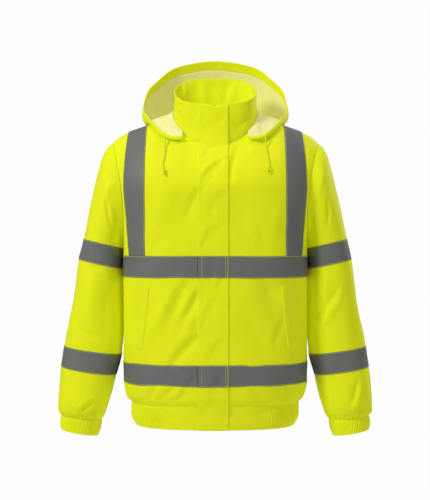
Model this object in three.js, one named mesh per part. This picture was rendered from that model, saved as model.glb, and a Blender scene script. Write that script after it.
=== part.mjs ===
// A hi-vis work jacket with hood, storm flap, gathered cuffs and waistband, filled out as worn.
// Millimetres, +Z up. The origin lies at mid depth on the centre line, at the height of the point
// where the neck seam meets the shoulder. The front faces -Y and the wearer's left side is +X.
import * as THREE from 'three';

// Cloth thicknesses and the clearance that seams and laid-on pieces keep
const SHELL_WALL = 1.6;
const COLLAR_WALL = 2.4;
const FLAP_WALL = 1.8;
const HOOD_WALL = 1.2;
const LINING_WALL = 0.8;
const TAPE_WALL = 0.8;
const ZIP_WALL = 1.2;
const WELT_WALL = 1.4;
const SEAM_GAP = 0.3;
const HALF_GAP = SEAM_GAP / 2;
const ARMHOLE_GAP = 0.35;
const ZIP_BEHIND = 0.4;

// Main heights, from the hem up to the point where neck seam and shoulder meet
const HEM_Z = -741.5;
const BAND_Z = -688;
const LOWER_TAPE = { bottom: -640.5, top: -591 };
const WAIST_TAPE = { bottom: -391, top: -341 };
const ARMPIT_Z = -305;
const CHEST_Z = -187.5;
const ARMHOLE_HALF_HEIGHT = CHEST_Z - ARMPIT_Z;

// Body sections: half width, depth to front and back, and roundness (2 is an ellipse)
const FULL_HALF_WIDTH = 219;
const BODY = [
  { z: HEM_Z, half: 196.5, front: 137, back: 138, power: 2.4 },
  { z: -715, half: 199, front: 139.5, back: 141, power: 2.4 },
  { z: BAND_Z, half: 200, front: 140, back: 142, power: 2.4 },
  { z: -676, half: 211, front: 146, back: 149, power: 2.4 },
  { z: -660, half: 217, front: 150, back: 153, power: 2.4 },
  { z: LOWER_TAPE.bottom, half: FULL_HALF_WIDTH, front: 151.5, back: 154, power: 2.45 },
  { z: -540, half: FULL_HALF_WIDTH, front: 151, back: 151, power: 2.6 },
  { z: WAIST_TAPE.bottom, half: FULL_HALF_WIDTH, front: 150, back: 146, power: 2.8 },
  { z: ARMPIT_Z, half: FULL_HALF_WIDTH, front: 150, back: 145, power: 3 },
  { z: CHEST_Z, half: FULL_HALF_WIDTH, front: 150, back: 145, power: 3 },
];

// Neck seam, by angle from the front centre, and the ring at the collar's top
const NECK = { halfWidth: 100, midY: -15, halfDepth: 80 };
const NECK_HEIGHT = [
  { angle: 0, z: -84 }, { angle: 30, z: -72 }, { angle: 60, z: -38 }, { angle: 90, z: -4 },
  { angle: 110, z: 9 }, { angle: 140, z: 15 }, { angle: 180, z: 18 },
];
const COLLAR_TOP = { halfWidth: 99, midY: -8, halfDepth: 77, midZ: 53, tilt: 41, power: 2.5 };

// Shoulder line from the neck to the top of the armhole
const SHOULDER = [
  { x: 100, y: -15, z: -4 }, { x: 133, y: -10, z: -16 }, { x: 164, y: -6, z: -29 },
  { x: 207, y: -1, z: -44 }, { x: 230, y: 3, z: -56 }, { x: 247, y: 5, z: -70 },
];

// Armhole loop, by angle from the shoulder (0) over the front (90) to the armpit (180)
const ARMHOLE = { front: 90, back: 92, topShift: 5, midX: 220, lean: 14, bow: 13 };
const ARMHOLE_ANGLES = [0, 18, 36, 54, 72, 90, 111, 132, 156, 180];

// Flap edges, zip opening and brace tapes; the brace's outer edge follows the armhole
const FLAP_EDGE = { right: 38.5, left: 29.1 };
const ZIP_HALF_OPENING = 3;
const ZIP_HALF_WIDTH = 14;
const BRACE_INNER_X = 163;
const BRACE_OUTER = [
  { z: WAIST_TAPE.top, x: 202 }, { z: ARMPIT_Z, x: 205 }, { z: -223, x: 211 }, { z: CHEST_Z, x: 214 },
];

// Panel columns: x at chest height, and x where the column meets the neck seam or the shoulder.
// A share marks the columns between the brace and the side seam or armhole.
const OUTER_COLUMNS = [
  { chest: 115, top: 100, corner: true }, { chest: 139, top: 133 }, { chest: BRACE_INNER_X, top: 163 },
  { chest: 188, top: 186 }, { chest: 214, top: 207, brace: true },
  { share: 1 / 3, top: 221 }, { share: 2 / 3, top: 235 }, { share: 1, top: 247 },
];
const FRONT_INNER_COLUMNS = [{ chest: 58, top: 57 }, { chest: 79, top: 77 }, { chest: 99, top: 94 }];
const BACK_INNER_COLUMNS = [{ chest: 0, top: 0 }, { chest: 27, top: 27 }, { chest: 53, top: 51 },
  { chest: 78, top: 76 }, { chest: 98, top: 94 }];

// Panel rows below the armpit; the armhole angles give the rows above it
const ROW_HEIGHTS = [BAND_Z, -676, -660, LOWER_TAPE.bottom, LOWER_TAPE.top, -540, -490, -440,
  WAIST_TAPE.bottom, WAIST_TAPE.top];
const BAND_ROW_HEIGHTS = [HEM_Z, -715, BAND_Z - SEAM_GAP];

// Columns outside this x draw in fully towards the waistband
const NARROWED_FROM_X = 150;

// How the panels bend over from the chest to the shoulder: the pull at the chest near the neck,
// near the arm and added at the armhole's edge, and the slope on arriving at the shoulder
const BEND = { inner: 1.1, outer: 1.25, edge: 0.3, edgeFrom: 186, edgeTo: 247, shoulderSlope: 0.75 };

// Folds fade out where the cloth turns to the sides, at this depth from the middle
const FOLD_FADE = { from: 20, to: 90 };

// Large folds of the body, each a soft trough (negative) or ridge: middle, direction from
// horizontal, length, width across, and depth; face -1 is the front and 1 the back
const BODY_FOLDS = [
  { face: -1, x: -60, z: -455, turn: 58, length: 150, width: 26, depth: -4.5 },
  { face: -1, x: -90, z: -470, turn: 58, length: 140, width: 26, depth: 3 },
  { face: -1, x: -70, z: -560, turn: 55, length: 170, width: 28, depth: -4 },
  { face: -1, x: 95, z: -520, turn: 118, length: 200, width: 34, depth: -3.5 },
  { face: -1, x: 60, z: -250, turn: 100, length: 170, width: 34, depth: -2.5 },
  { face: -1, x: -75, z: -240, turn: 62, length: 150, width: 30, depth: -3 },
  { face: 1, x: -70, z: -480, turn: 120, length: 190, width: 34, depth: -4 },
  { face: 1, x: 80, z: -520, turn: 60, length: 190, width: 34, depth: -4 },
  { face: 1, x: 20, z: -300, turn: 90, length: 190, width: 44, depth: -3 },
];

// Sleeve rings: outer and inner end of each ring, half depth and middle
const SLEEVE_RINGS = [
  { outX: 257, outZ: -78, inX: 219.9, inZ: -305.6, deep: 91.5, midY: 2, power: 2 },
  { outX: 268, outZ: -96, inX: 220.2, inZ: -306.6, deep: 92, midY: 3, power: 2.05 },
  { outX: 276.5, outZ: -123, inX: 220.4, inZ: -308.4, deep: 92.5, midY: 4, power: 2.1 },
  { outX: 288, outZ: -169, inX: 220.6, inZ: -311, deep: 92.5, midY: 6, power: 2.15 },
  { outX: 300, outZ: -223, inX: 220.8, inZ: -315, deep: 91.5, midY: 8, power: 2.2 },
  { outX: 315, outZ: -300.5, inX: 221, inZ: -322, deep: 89.5, midY: 10, power: 2.25, tape: 'upper' },
  { outX: 327, outZ: -349, inX: 222, inZ: -372.5, deep: 88, midY: 11, power: 2.25, tape: 'upper' },
  { outX: 340, outZ: -428, inX: 222, inZ: -447, deep: 85, midY: 11, power: 2.25 },
  { outX: 350, outZ: -493, inX: 222.5, inZ: -511, deep: 81, midY: 8, power: 2.25 },
  { outX: 361, outZ: -556, inX: 226, inZ: -575, deep: 76, midY: 4, power: 2.25, tape: 'lower' },
  { outX: 368, outZ: -605, inX: 238, inZ: -625, deep: 73, midY: 0, power: 2.25, tape: 'lower' },
  { outX: 373, outZ: -650, inX: 246, inZ: -662, deep: 71, midY: -5, power: 2.2 },
  { outX: 374.5, outZ: -688, inX: 255, inZ: -693, deep: 66, midY: -10, power: 2.2 },
  { outX: 373.5, outZ: -707, inX: 262, inZ: -713, deep: 58, midY: -14, power: 2.1 },
  { outX: 366.5, outZ: -721.5, inX: 272, inZ: -730.5, deep: 45, midY: -17, power: 2 },
];
const CUFF_RINGS = [
  { outX: 366.5, outZ: -721.9, inX: 272, inZ: -730.9, deep: 45, midY: -17, power: 2 },
  { outX: 368.5, outZ: -738, inX: 275.5, inZ: -749, deep: 44, midY: -18, power: 2 },
  { outX: 366.5, outZ: -753, inX: 281.5, inZ: -768, deep: 41, midY: -20, power: 2 },
];

// Room between sleeve and body, at the armpit and at a drop below it
const SLEEVE_ROOM = { armpit: 0.5, below: 3, drop: 30 };

// Elastic gathers: how many, how far each ridge stands out in its middle and at its ends, and
// how far the cuff's ridges lean over from ring to ring, in degrees
const CUFF_GATHER = { count: 30, middle: 1.7, end: 1, lean: 7 };
const BAND_GATHER = { count: 112, middle: 2, end: 1.1, samples: 2000 };

// Waistband: the plain part beside the zip ends here, with one more column on the way
const BAND_PLAIN_X = 136;
const BAND_COLUMN_X = 117;

// Hood, by angle from the front centre: rim point and the two handles of the curve that runs
// from the neck seam, over the shoulder or down the back, and up to the rim
const HOOD = [
  { angle: 50, rim: [77, -93, -62], near: [77, -81, -66], far: [80, -102, -78] },
  { angle: 56, rim: [95, -93, -61.5], near: [90, -80, -67], far: [98, -103, -80] },
  { angle: 62, rim: [114, -88, -55.5], near: [102, -76, -62], far: [118, -100, -77] },
  { angle: 70, rim: [134, -73, -41], near: [116, -59, -51], far: [140, -83, -66] },
  { angle: 80, rim: [155, -36, -17.5], near: [129, -35, -35], far: [163, -42, -47] },
  { angle: 100, rim: [175, 20, 17], near: [145, 5, -25], far: [187, 14, -44] },
  { angle: 120, rim: [168, 70, 62], near: [122, 50, -55], far: [196, 108, -66] },
  { angle: 140, rim: [137, 110, 104], near: [80, 78, -85], far: [172, 190, -108] },
  { angle: 160, rim: [87, 135, 128], near: [40, 97, -104], far: [102, 262, -140] },
  { angle: 180, rim: [0, 145, 149], near: [0, 105, -110], far: [0, 285, -150] },
];
const HOOD_ANGLES = [50, 56, 62, 70, 80, 90, 100, 110, 120, 130, 140, 150, 160, 170, 180];
const HOOD_SEAM_OUT = 0.8;
const HOOD_SEAM_LIFT = 1.5;
const HOOD_CLEARANCE = 5;
const HOOD_LIFT_OFF = 10;
const FACING_WIDTH = 22;
const LINING_ROWS = 8;
const FACING_ROWS = 2;

// Places on the body that the hood is kept clear of: how many across a panel and along a row
const SURFACE_SAMPLES = { across: 36, along: 10 };

// Pocket welts: upper and lower end on the front, and width
const WELT = { topX: 160, topZ: -412, bottomX: 177, bottomZ: -556, width: 17, lift: 1, steps: 6 };

// Drawcords: thickness, knot size, and the route of each down the chest
const CORD = { radius: 1.75, sides: 8, steps: 16 };
const KNOT = { radius: 4.4, length: 17, sides: 10, rings: 8 };
const CORD_ROUTES = {
  right: [[-117.5, -93.5, -64], [-117.5, -96.5, -76], [-117, -101.5, -90], [-117.5, -115, -108],
    [-121, -126.5, -128], [-118, -137.5, -143]],
  left: [[117, -93.5, -62], [117, -96, -74], [117.5, -99.5, -86], [119.5, -111.6, -103],
    [123.5, -124, -124], [123, -134, -137]],
};

const YELLOW = new THREE.MeshStandardMaterial({ color: 0xdce81c, roughness: 0.72, metalness: 0 });
const TAPE_GREY = new THREE.MeshStandardMaterial({ color: 0x6b7069, roughness: 0.42, metalness: 0.1 });
const CREAM = new THREE.MeshStandardMaterial({ color: 0xe6e1be, roughness: 0.85, metalness: 0 });
const ZIP_YELLOW = new THREE.MeshStandardMaterial({ color: 0xb9c41e, roughness: 0.6, metalness: 0 });
const CORD_YELLOW = new THREE.MeshStandardMaterial({ color: 0xcfd628, roughness: 0.8, metalness: 0 });

const V = (x, y, z) => new THREE.Vector3(x, y, z);
const { lerp, clamp, smoothstep, degToRad } = THREE.MathUtils;
const jacket = new THREE.Group();

// Smooth value of one column of a table, whose rows rise in the key column
function tableAt(table, key, at, column) {
  const last = table.length - 1;
  const x = clamp(at, table[0][key], table[last][key]);
  let i = 0;
  while (i < last - 1 && x > table[i + 1][key]) i += 1;
  const slope = (a, b) => (table[b][column] - table[a][column]) / (table[b][key] - table[a][key]);
  const span = table[i + 1][key] - table[i][key];
  const here = slope(i, i + 1);
  const bend = (other) => (here * other <= 0 ? 0 : 2 * here * other / (here + other));
  const start = (i > 0 ? bend(slope(i - 1, i)) : here) * span;
  const end = (i + 1 < last ? bend(slope(i + 1, i + 2)) : here) * span;
  const t = (x - table[i][key]) / span;
  return hermite(table[i][column], start, table[i + 1][column], end, t);
}

function hermite(from, fromSlope, to, toSlope, t) {
  const s = 1 - t;
  return from * (1 + 2 * t) * s * s + fromSlope * t * s * s + to * t * t * (3 - 2 * t) - toSlope * t * t * s;
}

const powered = (value, power) => Math.sign(value) * Math.abs(value) ** power;

// Armhole loop at an angle; back angles are negative
function armholeAt(angle) {
  const c = Math.cos(degToRad(angle));
  const s = Math.sin(degToRad(angle));
  const reach = s > 0 ? ARMHOLE.front : ARMHOLE.back;
  return V(ARMHOLE.midX + ARMHOLE.lean * c + ARMHOLE.bow * c * c,
    ARMHOLE.topShift * (1 + c) / 2 - reach * s, CHEST_Z + ARMHOLE_HALF_HEIGHT * c);
}

const armholeAngle = (z) => Math.acos(clamp((z - CHEST_Z) / ARMHOLE_HALF_HEIGHT, -1, 1)) * 180 / Math.PI;

// Body section at a height, for the front (-1) or the back (1)
function sectionAt(face, z) {
  const power = tableAt(BODY, 'z', z, 'power');
  const depth = tableAt(BODY, 'z', z, face < 0 ? 'front' : 'back');
  let half = tableAt(BODY, 'z', z, 'half');
  let edgeY = HALF_GAP;
  if (z > ARMPIT_Z) {
    const edge = armholeAt(-face * armholeAngle(z));
    edgeY = Math.max(HALF_GAP, face * edge.y);
    half = edge.x / (1 - (edgeY / depth) ** power) ** (1 / power);
  }
  return { half, depth, power, edgeY };
}

const depthAt = (s, x) => s.depth * Math.max(0, 1 - (Math.abs(x) / s.half) ** s.power) ** (1 / s.power);
const widthAt = (s, y) => s.half * Math.max(0, 1 - (Math.abs(y) / s.depth) ** s.power) ** (1 / s.power);

// How far the folds move the cloth out at a place on one face
function foldDepth(face, x, z) {
  let depth = 0;
  for (const fold of BODY_FOLDS.filter((one) => one.face === face)) {
    const c = Math.cos(degToRad(fold.turn));
    const s = Math.sin(degToRad(fold.turn));
    const along = ((x - fold.x) * c + (z - fold.z) * s) / (fold.length / 2);
    const across = ((z - fold.z) * c - (x - fold.x) * s) / fold.width;
    depth += fold.depth * Math.exp(-across * across) * Math.max(0, 1 - along * along) ** 2;
  }
  return depth;
}

// Columns draw in with the body's width towards the waistband
function columnX(column, z) {
  const x = column.brace ? tableAt(BRACE_OUTER, 'z', z, 'x') : column.chest;
  const narrowing = 1 - Math.min(1, tableAt(BODY, 'z', z, 'half') / FULL_HALF_WIDTH);
  return x * (1 - narrowing * Math.min(1, (x / NARROWED_FROM_X) ** 2));
}

// A point of the body up to chest height; side is 1 for the wearer's left and -1 for the right
function lowerPoint(face, side, column, z) {
  const section = sectionAt(face, z);
  let x;
  let y;
  if (column.share === undefined) {
    x = columnX(column, z);
    y = depthAt(section, x);
  } else {
    const start = depthAt(section, columnX({ brace: true }, z));
    y = lerp(start, section.edgeY, column.share);
    x = widthAt(section, y);
  }
  const fade = smoothstep(y, FOLD_FADE.from, FOLD_FADE.to);
  const out = fade * foldDepth(face, side * x, z);
  return V(side * x, face * (y + out), z);
}

// Where a column ends, on the neck seam or the shoulder
function topPoint(face, column) {
  if (column.top > NECK.halfWidth || column.corner) {
    const at = (key) => tableAt(SHOULDER, 'x', column.top, key);
    return V(column.top, at('y') + face * HALF_GAP, at('z'));
  }
  const turn = Math.asin(column.top / NECK.halfWidth) * 180 / Math.PI;
  return neckAt(face < 0 ? turn : 180 - turn);
}

function neckAt(angle) {
  const a = degToRad(angle);
  return V(NECK.halfWidth * Math.sin(a), NECK.midY - NECK.halfDepth * Math.cos(a),
    tableAt(NECK_HEIGHT, 'angle', Math.abs(angle), 'z'));
}

// A point above chest height, at an armhole angle from 90 at the chest to 0 at the top
function upperPoint(face, side, column, angle) {
  if (column.share === 1) {
    const edge = armholeAt(-face * angle);
    const gap = face * HALF_GAP * (1 - angle / 90);
    return V(side * edge.x, edge.y + gap, edge.z);
  }
  const t = 1 - angle / 90;
  const from = lowerPoint(face, side, column, CHEST_Z);
  const to = topPoint(face, column);
  const rise = to.z - from.z;
  const run = to.y - from.y;
  const outward = smoothstep(column.top, NECK.halfWidth, BRACE_INNER_X);
  const edge = smoothstep(column.top, BEND.edgeFrom, BEND.edgeTo);
  const pull = lerp(BEND.inner, BEND.outer, outward) + BEND.edge * edge;
  return V(lerp(from.x, side * to.x, t * t * (3 - 2 * t)),
    hermite(from.y, 0, to.y, pull * run, t),
    hermite(from.z, pull * rise, to.z, BEND.shoulderSlope * (1 - outward) * rise, t));
}

const pointOn = (face, side, column, row) => (row.z !== undefined
  ? lowerPoint(face, side, column, row.z)
  : upperPoint(face, side, column, row.angle));

// Rows from the waistband seam up: by height to the chest, then by armhole angle to the top
const BODY_ROWS = [
  ...ROW_HEIGHTS.map((z) => ({ z })),
  ...ARMHOLE_ANGLES.slice().reverse().map((angle) => (
    angle >= 90 ? { z: armholeAt(angle).z } : { angle })),
];
const WAIST_ROW = ROW_HEIGHTS.indexOf(WAIST_TAPE.bottom);
const LOWER_ROW = ROW_HEIGHTS.indexOf(LOWER_TAPE.bottom);
const ARMPIT_ROW = ROW_HEIGHTS.length;

// A sheet is a grid of points with a normal at each; a tube's columns close on themselves
function sheet(points, { tube = false, flip = false } = {}) {
  const rows = points.length;
  const cols = points[0].length;
  const normals = points.map((row, r) => row.map((_, c) => {
    const left = tube ? points[r][(c + cols - 1) % cols] : points[r][Math.max(0, c - 1)];
    const right = tube ? points[r][(c + 1) % cols] : points[r][Math.min(cols - 1, c + 1)];
    const below = points[Math.max(0, r - 1)][c];
    const above = points[Math.min(rows - 1, r + 1)][c];
    const across = right.clone().sub(left);
    const normal = across.cross(above.clone().sub(below)).normalize();
    return flip ? normal.negate() : normal;
  }));
  return { points, normals, tube };
}

function part(source, firstRow, lastRow, firstCol = 0, lastCol = source.points[0].length - 1) {
  const cut = (grid) => grid.slice(firstRow, lastRow + 1).map((row) => row.slice(firstCol, lastCol + 1));
  return { points: cut(source.points), normals: cut(source.normals), tube: source.tube };
}

// Moves a sheet's points along their normals; the distance may change from point to point
const moved = (source, distance) => source.points.map((row, r) => row.map((point, c) => (
  point.clone().addScaledVector(source.normals[r][c],
    typeof distance === 'function' ? distance(r, c) : distance))));

// A closed solid between two grids of points
function wall(name, under, over, material, tube = false) {
  const rows = over.length;
  const cols = over[0].length;
  const positions = [...over.flat(), ...under.flat()].flatMap((p) => [p.x, p.y, p.z]);
  const top = (r, c) => r * cols + (c % cols);
  const low = (r, c) => rows * cols + top(r, c);
  const faces = [];
  const quad = (a, b, c, d, rising = true) => {
    if (rising) faces.push(a, b, c, a, c, d);
    else faces.push(b, c, d, b, d, a);
  };
  // A four-sided cell is split along the diagonal that stands out, so that walls laid on each
  // other are split alike
  const standsOut = (r, c) => {
    const next = (c + 1) % cols;
    const rising = over[r][c].clone().add(over[r + 1][next]);
    const falling = over[r][next].clone().add(over[r + 1][c]);
    const out = over[r][c].clone().sub(under[r][c]).add(over[r + 1][next]).sub(under[r + 1][next]);
    return rising.sub(falling).dot(out) >= 0;
  };
  const spans = tube ? cols : cols - 1;
  for (let r = 0; r < rows - 1; r += 1) {
    for (let c = 0; c < spans; c += 1) {
      const rising = standsOut(r, c);
      quad(top(r, c), top(r, c + 1), top(r + 1, c + 1), top(r + 1, c), rising);
      quad(low(r, c), low(r + 1, c), low(r + 1, c + 1), low(r, c + 1), rising);
    }
  }
  for (let c = 0; c < spans; c += 1) {
    quad(top(0, c), low(0, c), low(0, c + 1), top(0, c + 1));
    quad(top(rows - 1, c), top(rows - 1, c + 1), low(rows - 1, c + 1), low(rows - 1, c));
  }
  for (let r = 0; r < rows - 1 && !tube; r += 1) {
    quad(top(r, 0), top(r + 1, 0), low(r + 1, 0), low(r, 0));
    quad(top(r, cols - 1), low(r, cols - 1), low(r + 1, cols - 1), top(r + 1, cols - 1));
  }
  const at = (i) => V(positions[3 * i], positions[3 * i + 1], positions[3 * i + 2]);
  let volume = 0;
  for (let i = 0; i < faces.length; i += 3) {
    volume += at(faces[i]).dot(at(faces[i + 1]).cross(at(faces[i + 2])));
  }
  if (volume < 0) {
    for (let i = 0; i < faces.length; i += 3) [faces[i], faces[i + 1]] = [faces[i + 1], faces[i]];
  }
  const geometry = new THREE.BufferGeometry();
  geometry.setAttribute('position', new THREE.Float32BufferAttribute(positions, 3));
  geometry.setIndex(faces);
  geometry.computeVertexNormals();
  addPiece(name, geometry, material);
}

function addPiece(name, geometry, material) {
  const mesh = new THREE.Mesh(geometry, material.clone());
  mesh.name = name;
  jacket.add(mesh);
}

// A wall on a sheet, from one distance off it to another
function wallOn(name, source, from, to, material) {
  wall(name, moved(source, from), moved(source, to), material, source.tube);
}

// Two seam edges share their normals, so that their inner edges stay apart
function shareNormals(pairs) {
  for (const [a, b, weight] of pairs) {
    const mean = a.clone().add(b).normalize();
    a.lerp(mean, weight).normalize();
    b.lerp(mean, weight).normalize();
  }
}

// Body panels
const SIDES = { right: -1, left: 1 };
const flapColumn = (side) => {
  const x = (side > 0 ? FLAP_EDGE.left : FLAP_EDGE.right) + SEAM_GAP;
  return { chest: x, top: x };
};
const frontColumns = (side) => [
  { chest: ZIP_HALF_OPENING, top: ZIP_HALF_OPENING }, flapColumn(side),
  ...FRONT_INNER_COLUMNS, ...OUTER_COLUMNS];
const FRONT_BRACE_COL = 2 + FRONT_INNER_COLUMNS.length + 2;
const BACK_BRACE_COL = BACK_INNER_COLUMNS.length + 2;

const panels = {};
for (const [word, side] of Object.entries(SIDES)) {
  const columns = frontColumns(side);
  panels[word] = sheet(BODY_ROWS.map((row) => columns.map((column) => pointOn(-1, side, column, row))),
    { flip: side < 0 });
}
const backHalf = [...BACK_INNER_COLUMNS, ...OUTER_COLUMNS];
const backColumns = [...backHalf.slice(1).reverse().map((column) => ({ column, side: -1 })),
  ...backHalf.map((column) => ({ column, side: 1 }))];
panels.back = sheet(BODY_ROWS.map((row) => backColumns.map(({ column, side }) => (
  pointOn(1, side, column, row)))), { flip: true });
const BACK_MIDDLE = backHalf.length - 1;
const backCol = (side, index) => BACK_MIDDLE + side * index;

// Sleeves, made for the left and mirrored; their first ring is the armhole
const sleeveAngles = [...ARMHOLE_ANGLES, ...ARMHOLE_ANGLES.slice(1, -1).reverse().map((a) => -a)];

function ringPoint(ring, angle) {
  const c = powered(Math.cos(degToRad(angle)), 2 / ring.power);
  const s = powered(Math.sin(degToRad(angle)), 2 / ring.power);
  const x = (ring.outX + ring.inX) / 2 + (ring.outX - ring.inX) / 2 * c;
  const z = (ring.outZ + ring.inZ) / 2 + (ring.outZ - ring.inZ) / 2 * c;
  return V(x, ring.midY - ring.deep * s, z);
}

// Keeps a sleeve point clear of the body beside it
function besideBody(point) {
  if (point.z > ARMPIT_Z) return point;
  const section = sectionAt(point.y < 0 ? -1 : 1, point.z);
  if (Math.abs(point.y) >= section.depth) return point;
  const share = smoothstep(ARMPIT_Z - point.z, 0, SLEEVE_ROOM.drop);
  const room = lerp(SLEEVE_ROOM.armpit, SLEEVE_ROOM.below, share);
  point.x = Math.max(point.x, widthAt(section, point.y) + room);
  return point;
}

function sleeveSheet(side) {
  const rings = [sleeveAngles.map((angle) => armholeAt(angle).add(V(ARMHOLE_GAP, 0, 0))),
    ...SLEEVE_RINGS.map((ring) => sleeveAngles.map((angle) => besideBody(ringPoint(ring, angle))))];
  for (const point of rings.flat()) point.x *= side;
  return sheet(rings, { tube: true, flip: side < 0 });
}

const sleeves = { right: sleeveSheet(-1), left: sleeveSheet(1) };
for (const [word, side] of Object.entries(SIDES)) {
  const last = frontColumns(side).length - 1;
  const front = panels[word];
  const back = panels.back;
  const pairs = [];
  const top = BODY_ROWS.length - 1;
  const backEdge = backCol(side, backHalf.length - 1);
  for (let r = 0; r <= ARMPIT_ROW; r += 1) pairs.push([front.normals[r][last], back.normals[r][backEdge], 1]);
  for (let c = FRONT_BRACE_COL - 2; c <= last; c += 1) {
    pairs.push([front.normals[top][c], back.normals[top][backEdge - side * (last - c)], 1]);
  }
  shareNormals(pairs);
  const sleeveEdge = sleeves[word].normals[0];
  const armPairs = [];
  sleeveAngles.forEach((angle, i) => {
    const r = top - ARMHOLE_ANGLES.indexOf(Math.abs(angle));
    const weight = 1 - smoothstep(Math.abs(angle), 80, 130);
    if (angle >= 0) armPairs.push([front.normals[r][last], sleeveEdge[i], weight]);
    if (angle <= 0) armPairs.push([back.normals[r][backEdge], sleeveEdge[i], weight]);
  });
  shareNormals(armPairs);
}

wallOn('front_right', panels.right, -SHELL_WALL, 0, YELLOW);
wallOn('front_left', panels.left, -SHELL_WALL, 0, YELLOW);
wallOn('back', panels.back, -SHELL_WALL, 0, YELLOW);
wallOn('sleeve_right', sleeves.right, -SHELL_WALL, 0, YELLOW);
wallOn('sleeve_left', sleeves.left, -SHELL_WALL, 0, YELLOW);

// Cuffs: leaning gathers stand out of a plain inner wall
for (const [word, side] of Object.entries(SIDES)) {
  const count = 2 * CUFF_GATHER.count;
  const rows = CUFF_RINGS.map((ring, r) => Array.from({ length: count }, (_, i) => {
    const point = ringPoint(ring, 360 * i / count + CUFF_GATHER.lean * r);
    return V(side * point.x, point.y, point.z);
  }));
  const cuff = sheet(rows, { tube: true, flip: side < 0 });
  const ridges = (r, c) => (c % 2 ? CUFF_GATHER[r === 1 ? 'middle' : 'end'] : 0);
  wall(`cuff_${word}`, moved(cuff, -SHELL_WALL), moved(cuff, ridges), YELLOW, true);
}

// Waistband: a plain part beside the zip on each front, and one gathered part round the rest
function bandSheet(columns) {
  return sheet(BAND_ROW_HEIGHTS.map((z) => columns.map(({ face, side, column }) => (
    lowerPoint(face, side, column, z)))));
}
for (const [word, side] of Object.entries(SIDES)) {
  const columns = [...frontColumns(side).slice(0, 5), { chest: BAND_COLUMN_X },
    { chest: BAND_PLAIN_X - HALF_GAP }];
  const band = bandSheet(columns.map((column) => ({ face: -1, side, column })));
  if (side < 0) band.normals.flat().forEach((normal) => normal.negate());
  wallOn(`waistband_front_${word}`, band, -SHELL_WALL, 0, YELLOW);
}
{
  const steps = 2 * BAND_GATHER.count;
  const arc = (z, share) => {
    const section = { front: sectionAt(-1, z), back: sectionAt(1, z) };
    const startX = columnX({ chest: BAND_PLAIN_X + HALF_GAP }, z);
    const start = Math.acos((startX / section.front.half) ** (section.front.power / 2));
    const angle = lerp(-start, Math.PI + start, share);
    const c = Math.cos(angle);
    const s = Math.sin(angle);
    const one = s < 0 ? section.front : section.back;
    return V(one.half * powered(c, 2 / one.power), one.depth * powered(s, 2 / one.power), z);
  };
  const { samples } = BAND_GATHER;
  const even = Array.from({ length: samples + 1 }, (_, i) => arc(BAND_ROW_HEIGHTS[1], i / samples));
  const lengths = even.map(() => 0);
  for (let i = 1; i <= samples; i += 1) lengths[i] = lengths[i - 1] + even[i].distanceTo(even[i - 1]);
  const shares = Array.from({ length: steps + 1 }, (_, i) => (i === steps ? 1
    : lengths.findIndex((length) => length >= lengths[samples] * i / steps) / samples));
  const band = sheet(BAND_ROW_HEIGHTS.map((z) => shares.map((share) => arc(z, share))));
  const ridges = (r, c) => (c % 2 ? BAND_GATHER[r === 1 ? 'middle' : 'end'] : 0);
  wall('waistband_elastic', moved(band, -SHELL_WALL), moved(band, ridges), YELLOW);
}

// Collar: an upright wall on the neck seam, open at the zip
const COLLAR_STEPS = [0, 1 / 3, 2 / 3, 1];

function collarPoint(side, column, rise) {
  const base = neckAt(column.angle);
  base.z += SEAM_GAP;
  const power = 2 / COLLAR_TOP.power;
  const s = Math.sin(degToRad(column.angle));
  const c = Math.cos(degToRad(column.angle));
  let topX = COLLAR_TOP.halfWidth * powered(s, power);
  let topY = COLLAR_TOP.midY - COLLAR_TOP.halfDepth * powered(c, power);
  if (column.x !== undefined) {
    topX = column.x;
    const share = (column.x / COLLAR_TOP.halfWidth) ** COLLAR_TOP.power;
    topY = COLLAR_TOP.midY - COLLAR_TOP.halfDepth * (1 - share) ** (1 / COLLAR_TOP.power);
  }
  const top = V(topX, topY, COLLAR_TOP.midZ - COLLAR_TOP.tilt * c);
  return V(side * lerp(base.x, top.x, rise), lerp(base.y, top.y, rise), lerp(base.z, top.z, rise));
}

const neckAngle = (x) => Math.asin(x / NECK.halfWidth) * 180 / Math.PI;
const collarHalf = (side) => [
  { angle: neckAngle(ZIP_HALF_OPENING), x: ZIP_HALF_OPENING },
  { angle: neckAngle(flapColumn(side).top), x: flapColumn(side).top },
  ...FRONT_INNER_COLUMNS.map(({ top }) => ({ angle: neckAngle(top) })), { angle: 90 },
  ...BACK_INNER_COLUMNS.slice(1).reverse().map(({ top }) => ({ angle: 180 - neckAngle(top) })),
];
const collarColumns = [...collarHalf(-1).map((column) => ({ side: -1, column })),
  { side: 1, column: { angle: 180 } },
  ...collarHalf(1).reverse().map((column) => ({ side: 1, column }))];
const collar = sheet(COLLAR_STEPS.map((rise) => collarColumns.map(({ side, column }) => (
  collarPoint(side, column, rise)))), { flip: true });
wallOn('collar', collar, -COLLAR_WALL, 0, YELLOW);

// Storm flap and zip run from the hem to the collar's top, on the points of what they lie on
const FRONT_LINE = [...BAND_ROW_HEIGHTS.map((z) => ({ z })), ...BODY_ROWS.slice(1),
  ...COLLAR_STEPS.slice(1).map((rise) => ({ rise }))];

// A point between a front's first two columns, on the flat that they span
function frontLinePoint(x, row) {
  const side = Math.sign(x);
  const edge = flapColumn(side).top;
  const [near, far] = [ZIP_HALF_OPENING, edge].map((size) => (row.rise !== undefined
    ? collarPoint(side, { angle: neckAngle(size), x: size }, row.rise)
    : pointOn(-1, side, { chest: size, top: size }, row)));
  return near.lerp(far, (Math.abs(x) - ZIP_HALF_OPENING) / (edge - ZIP_HALF_OPENING));
}

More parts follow.
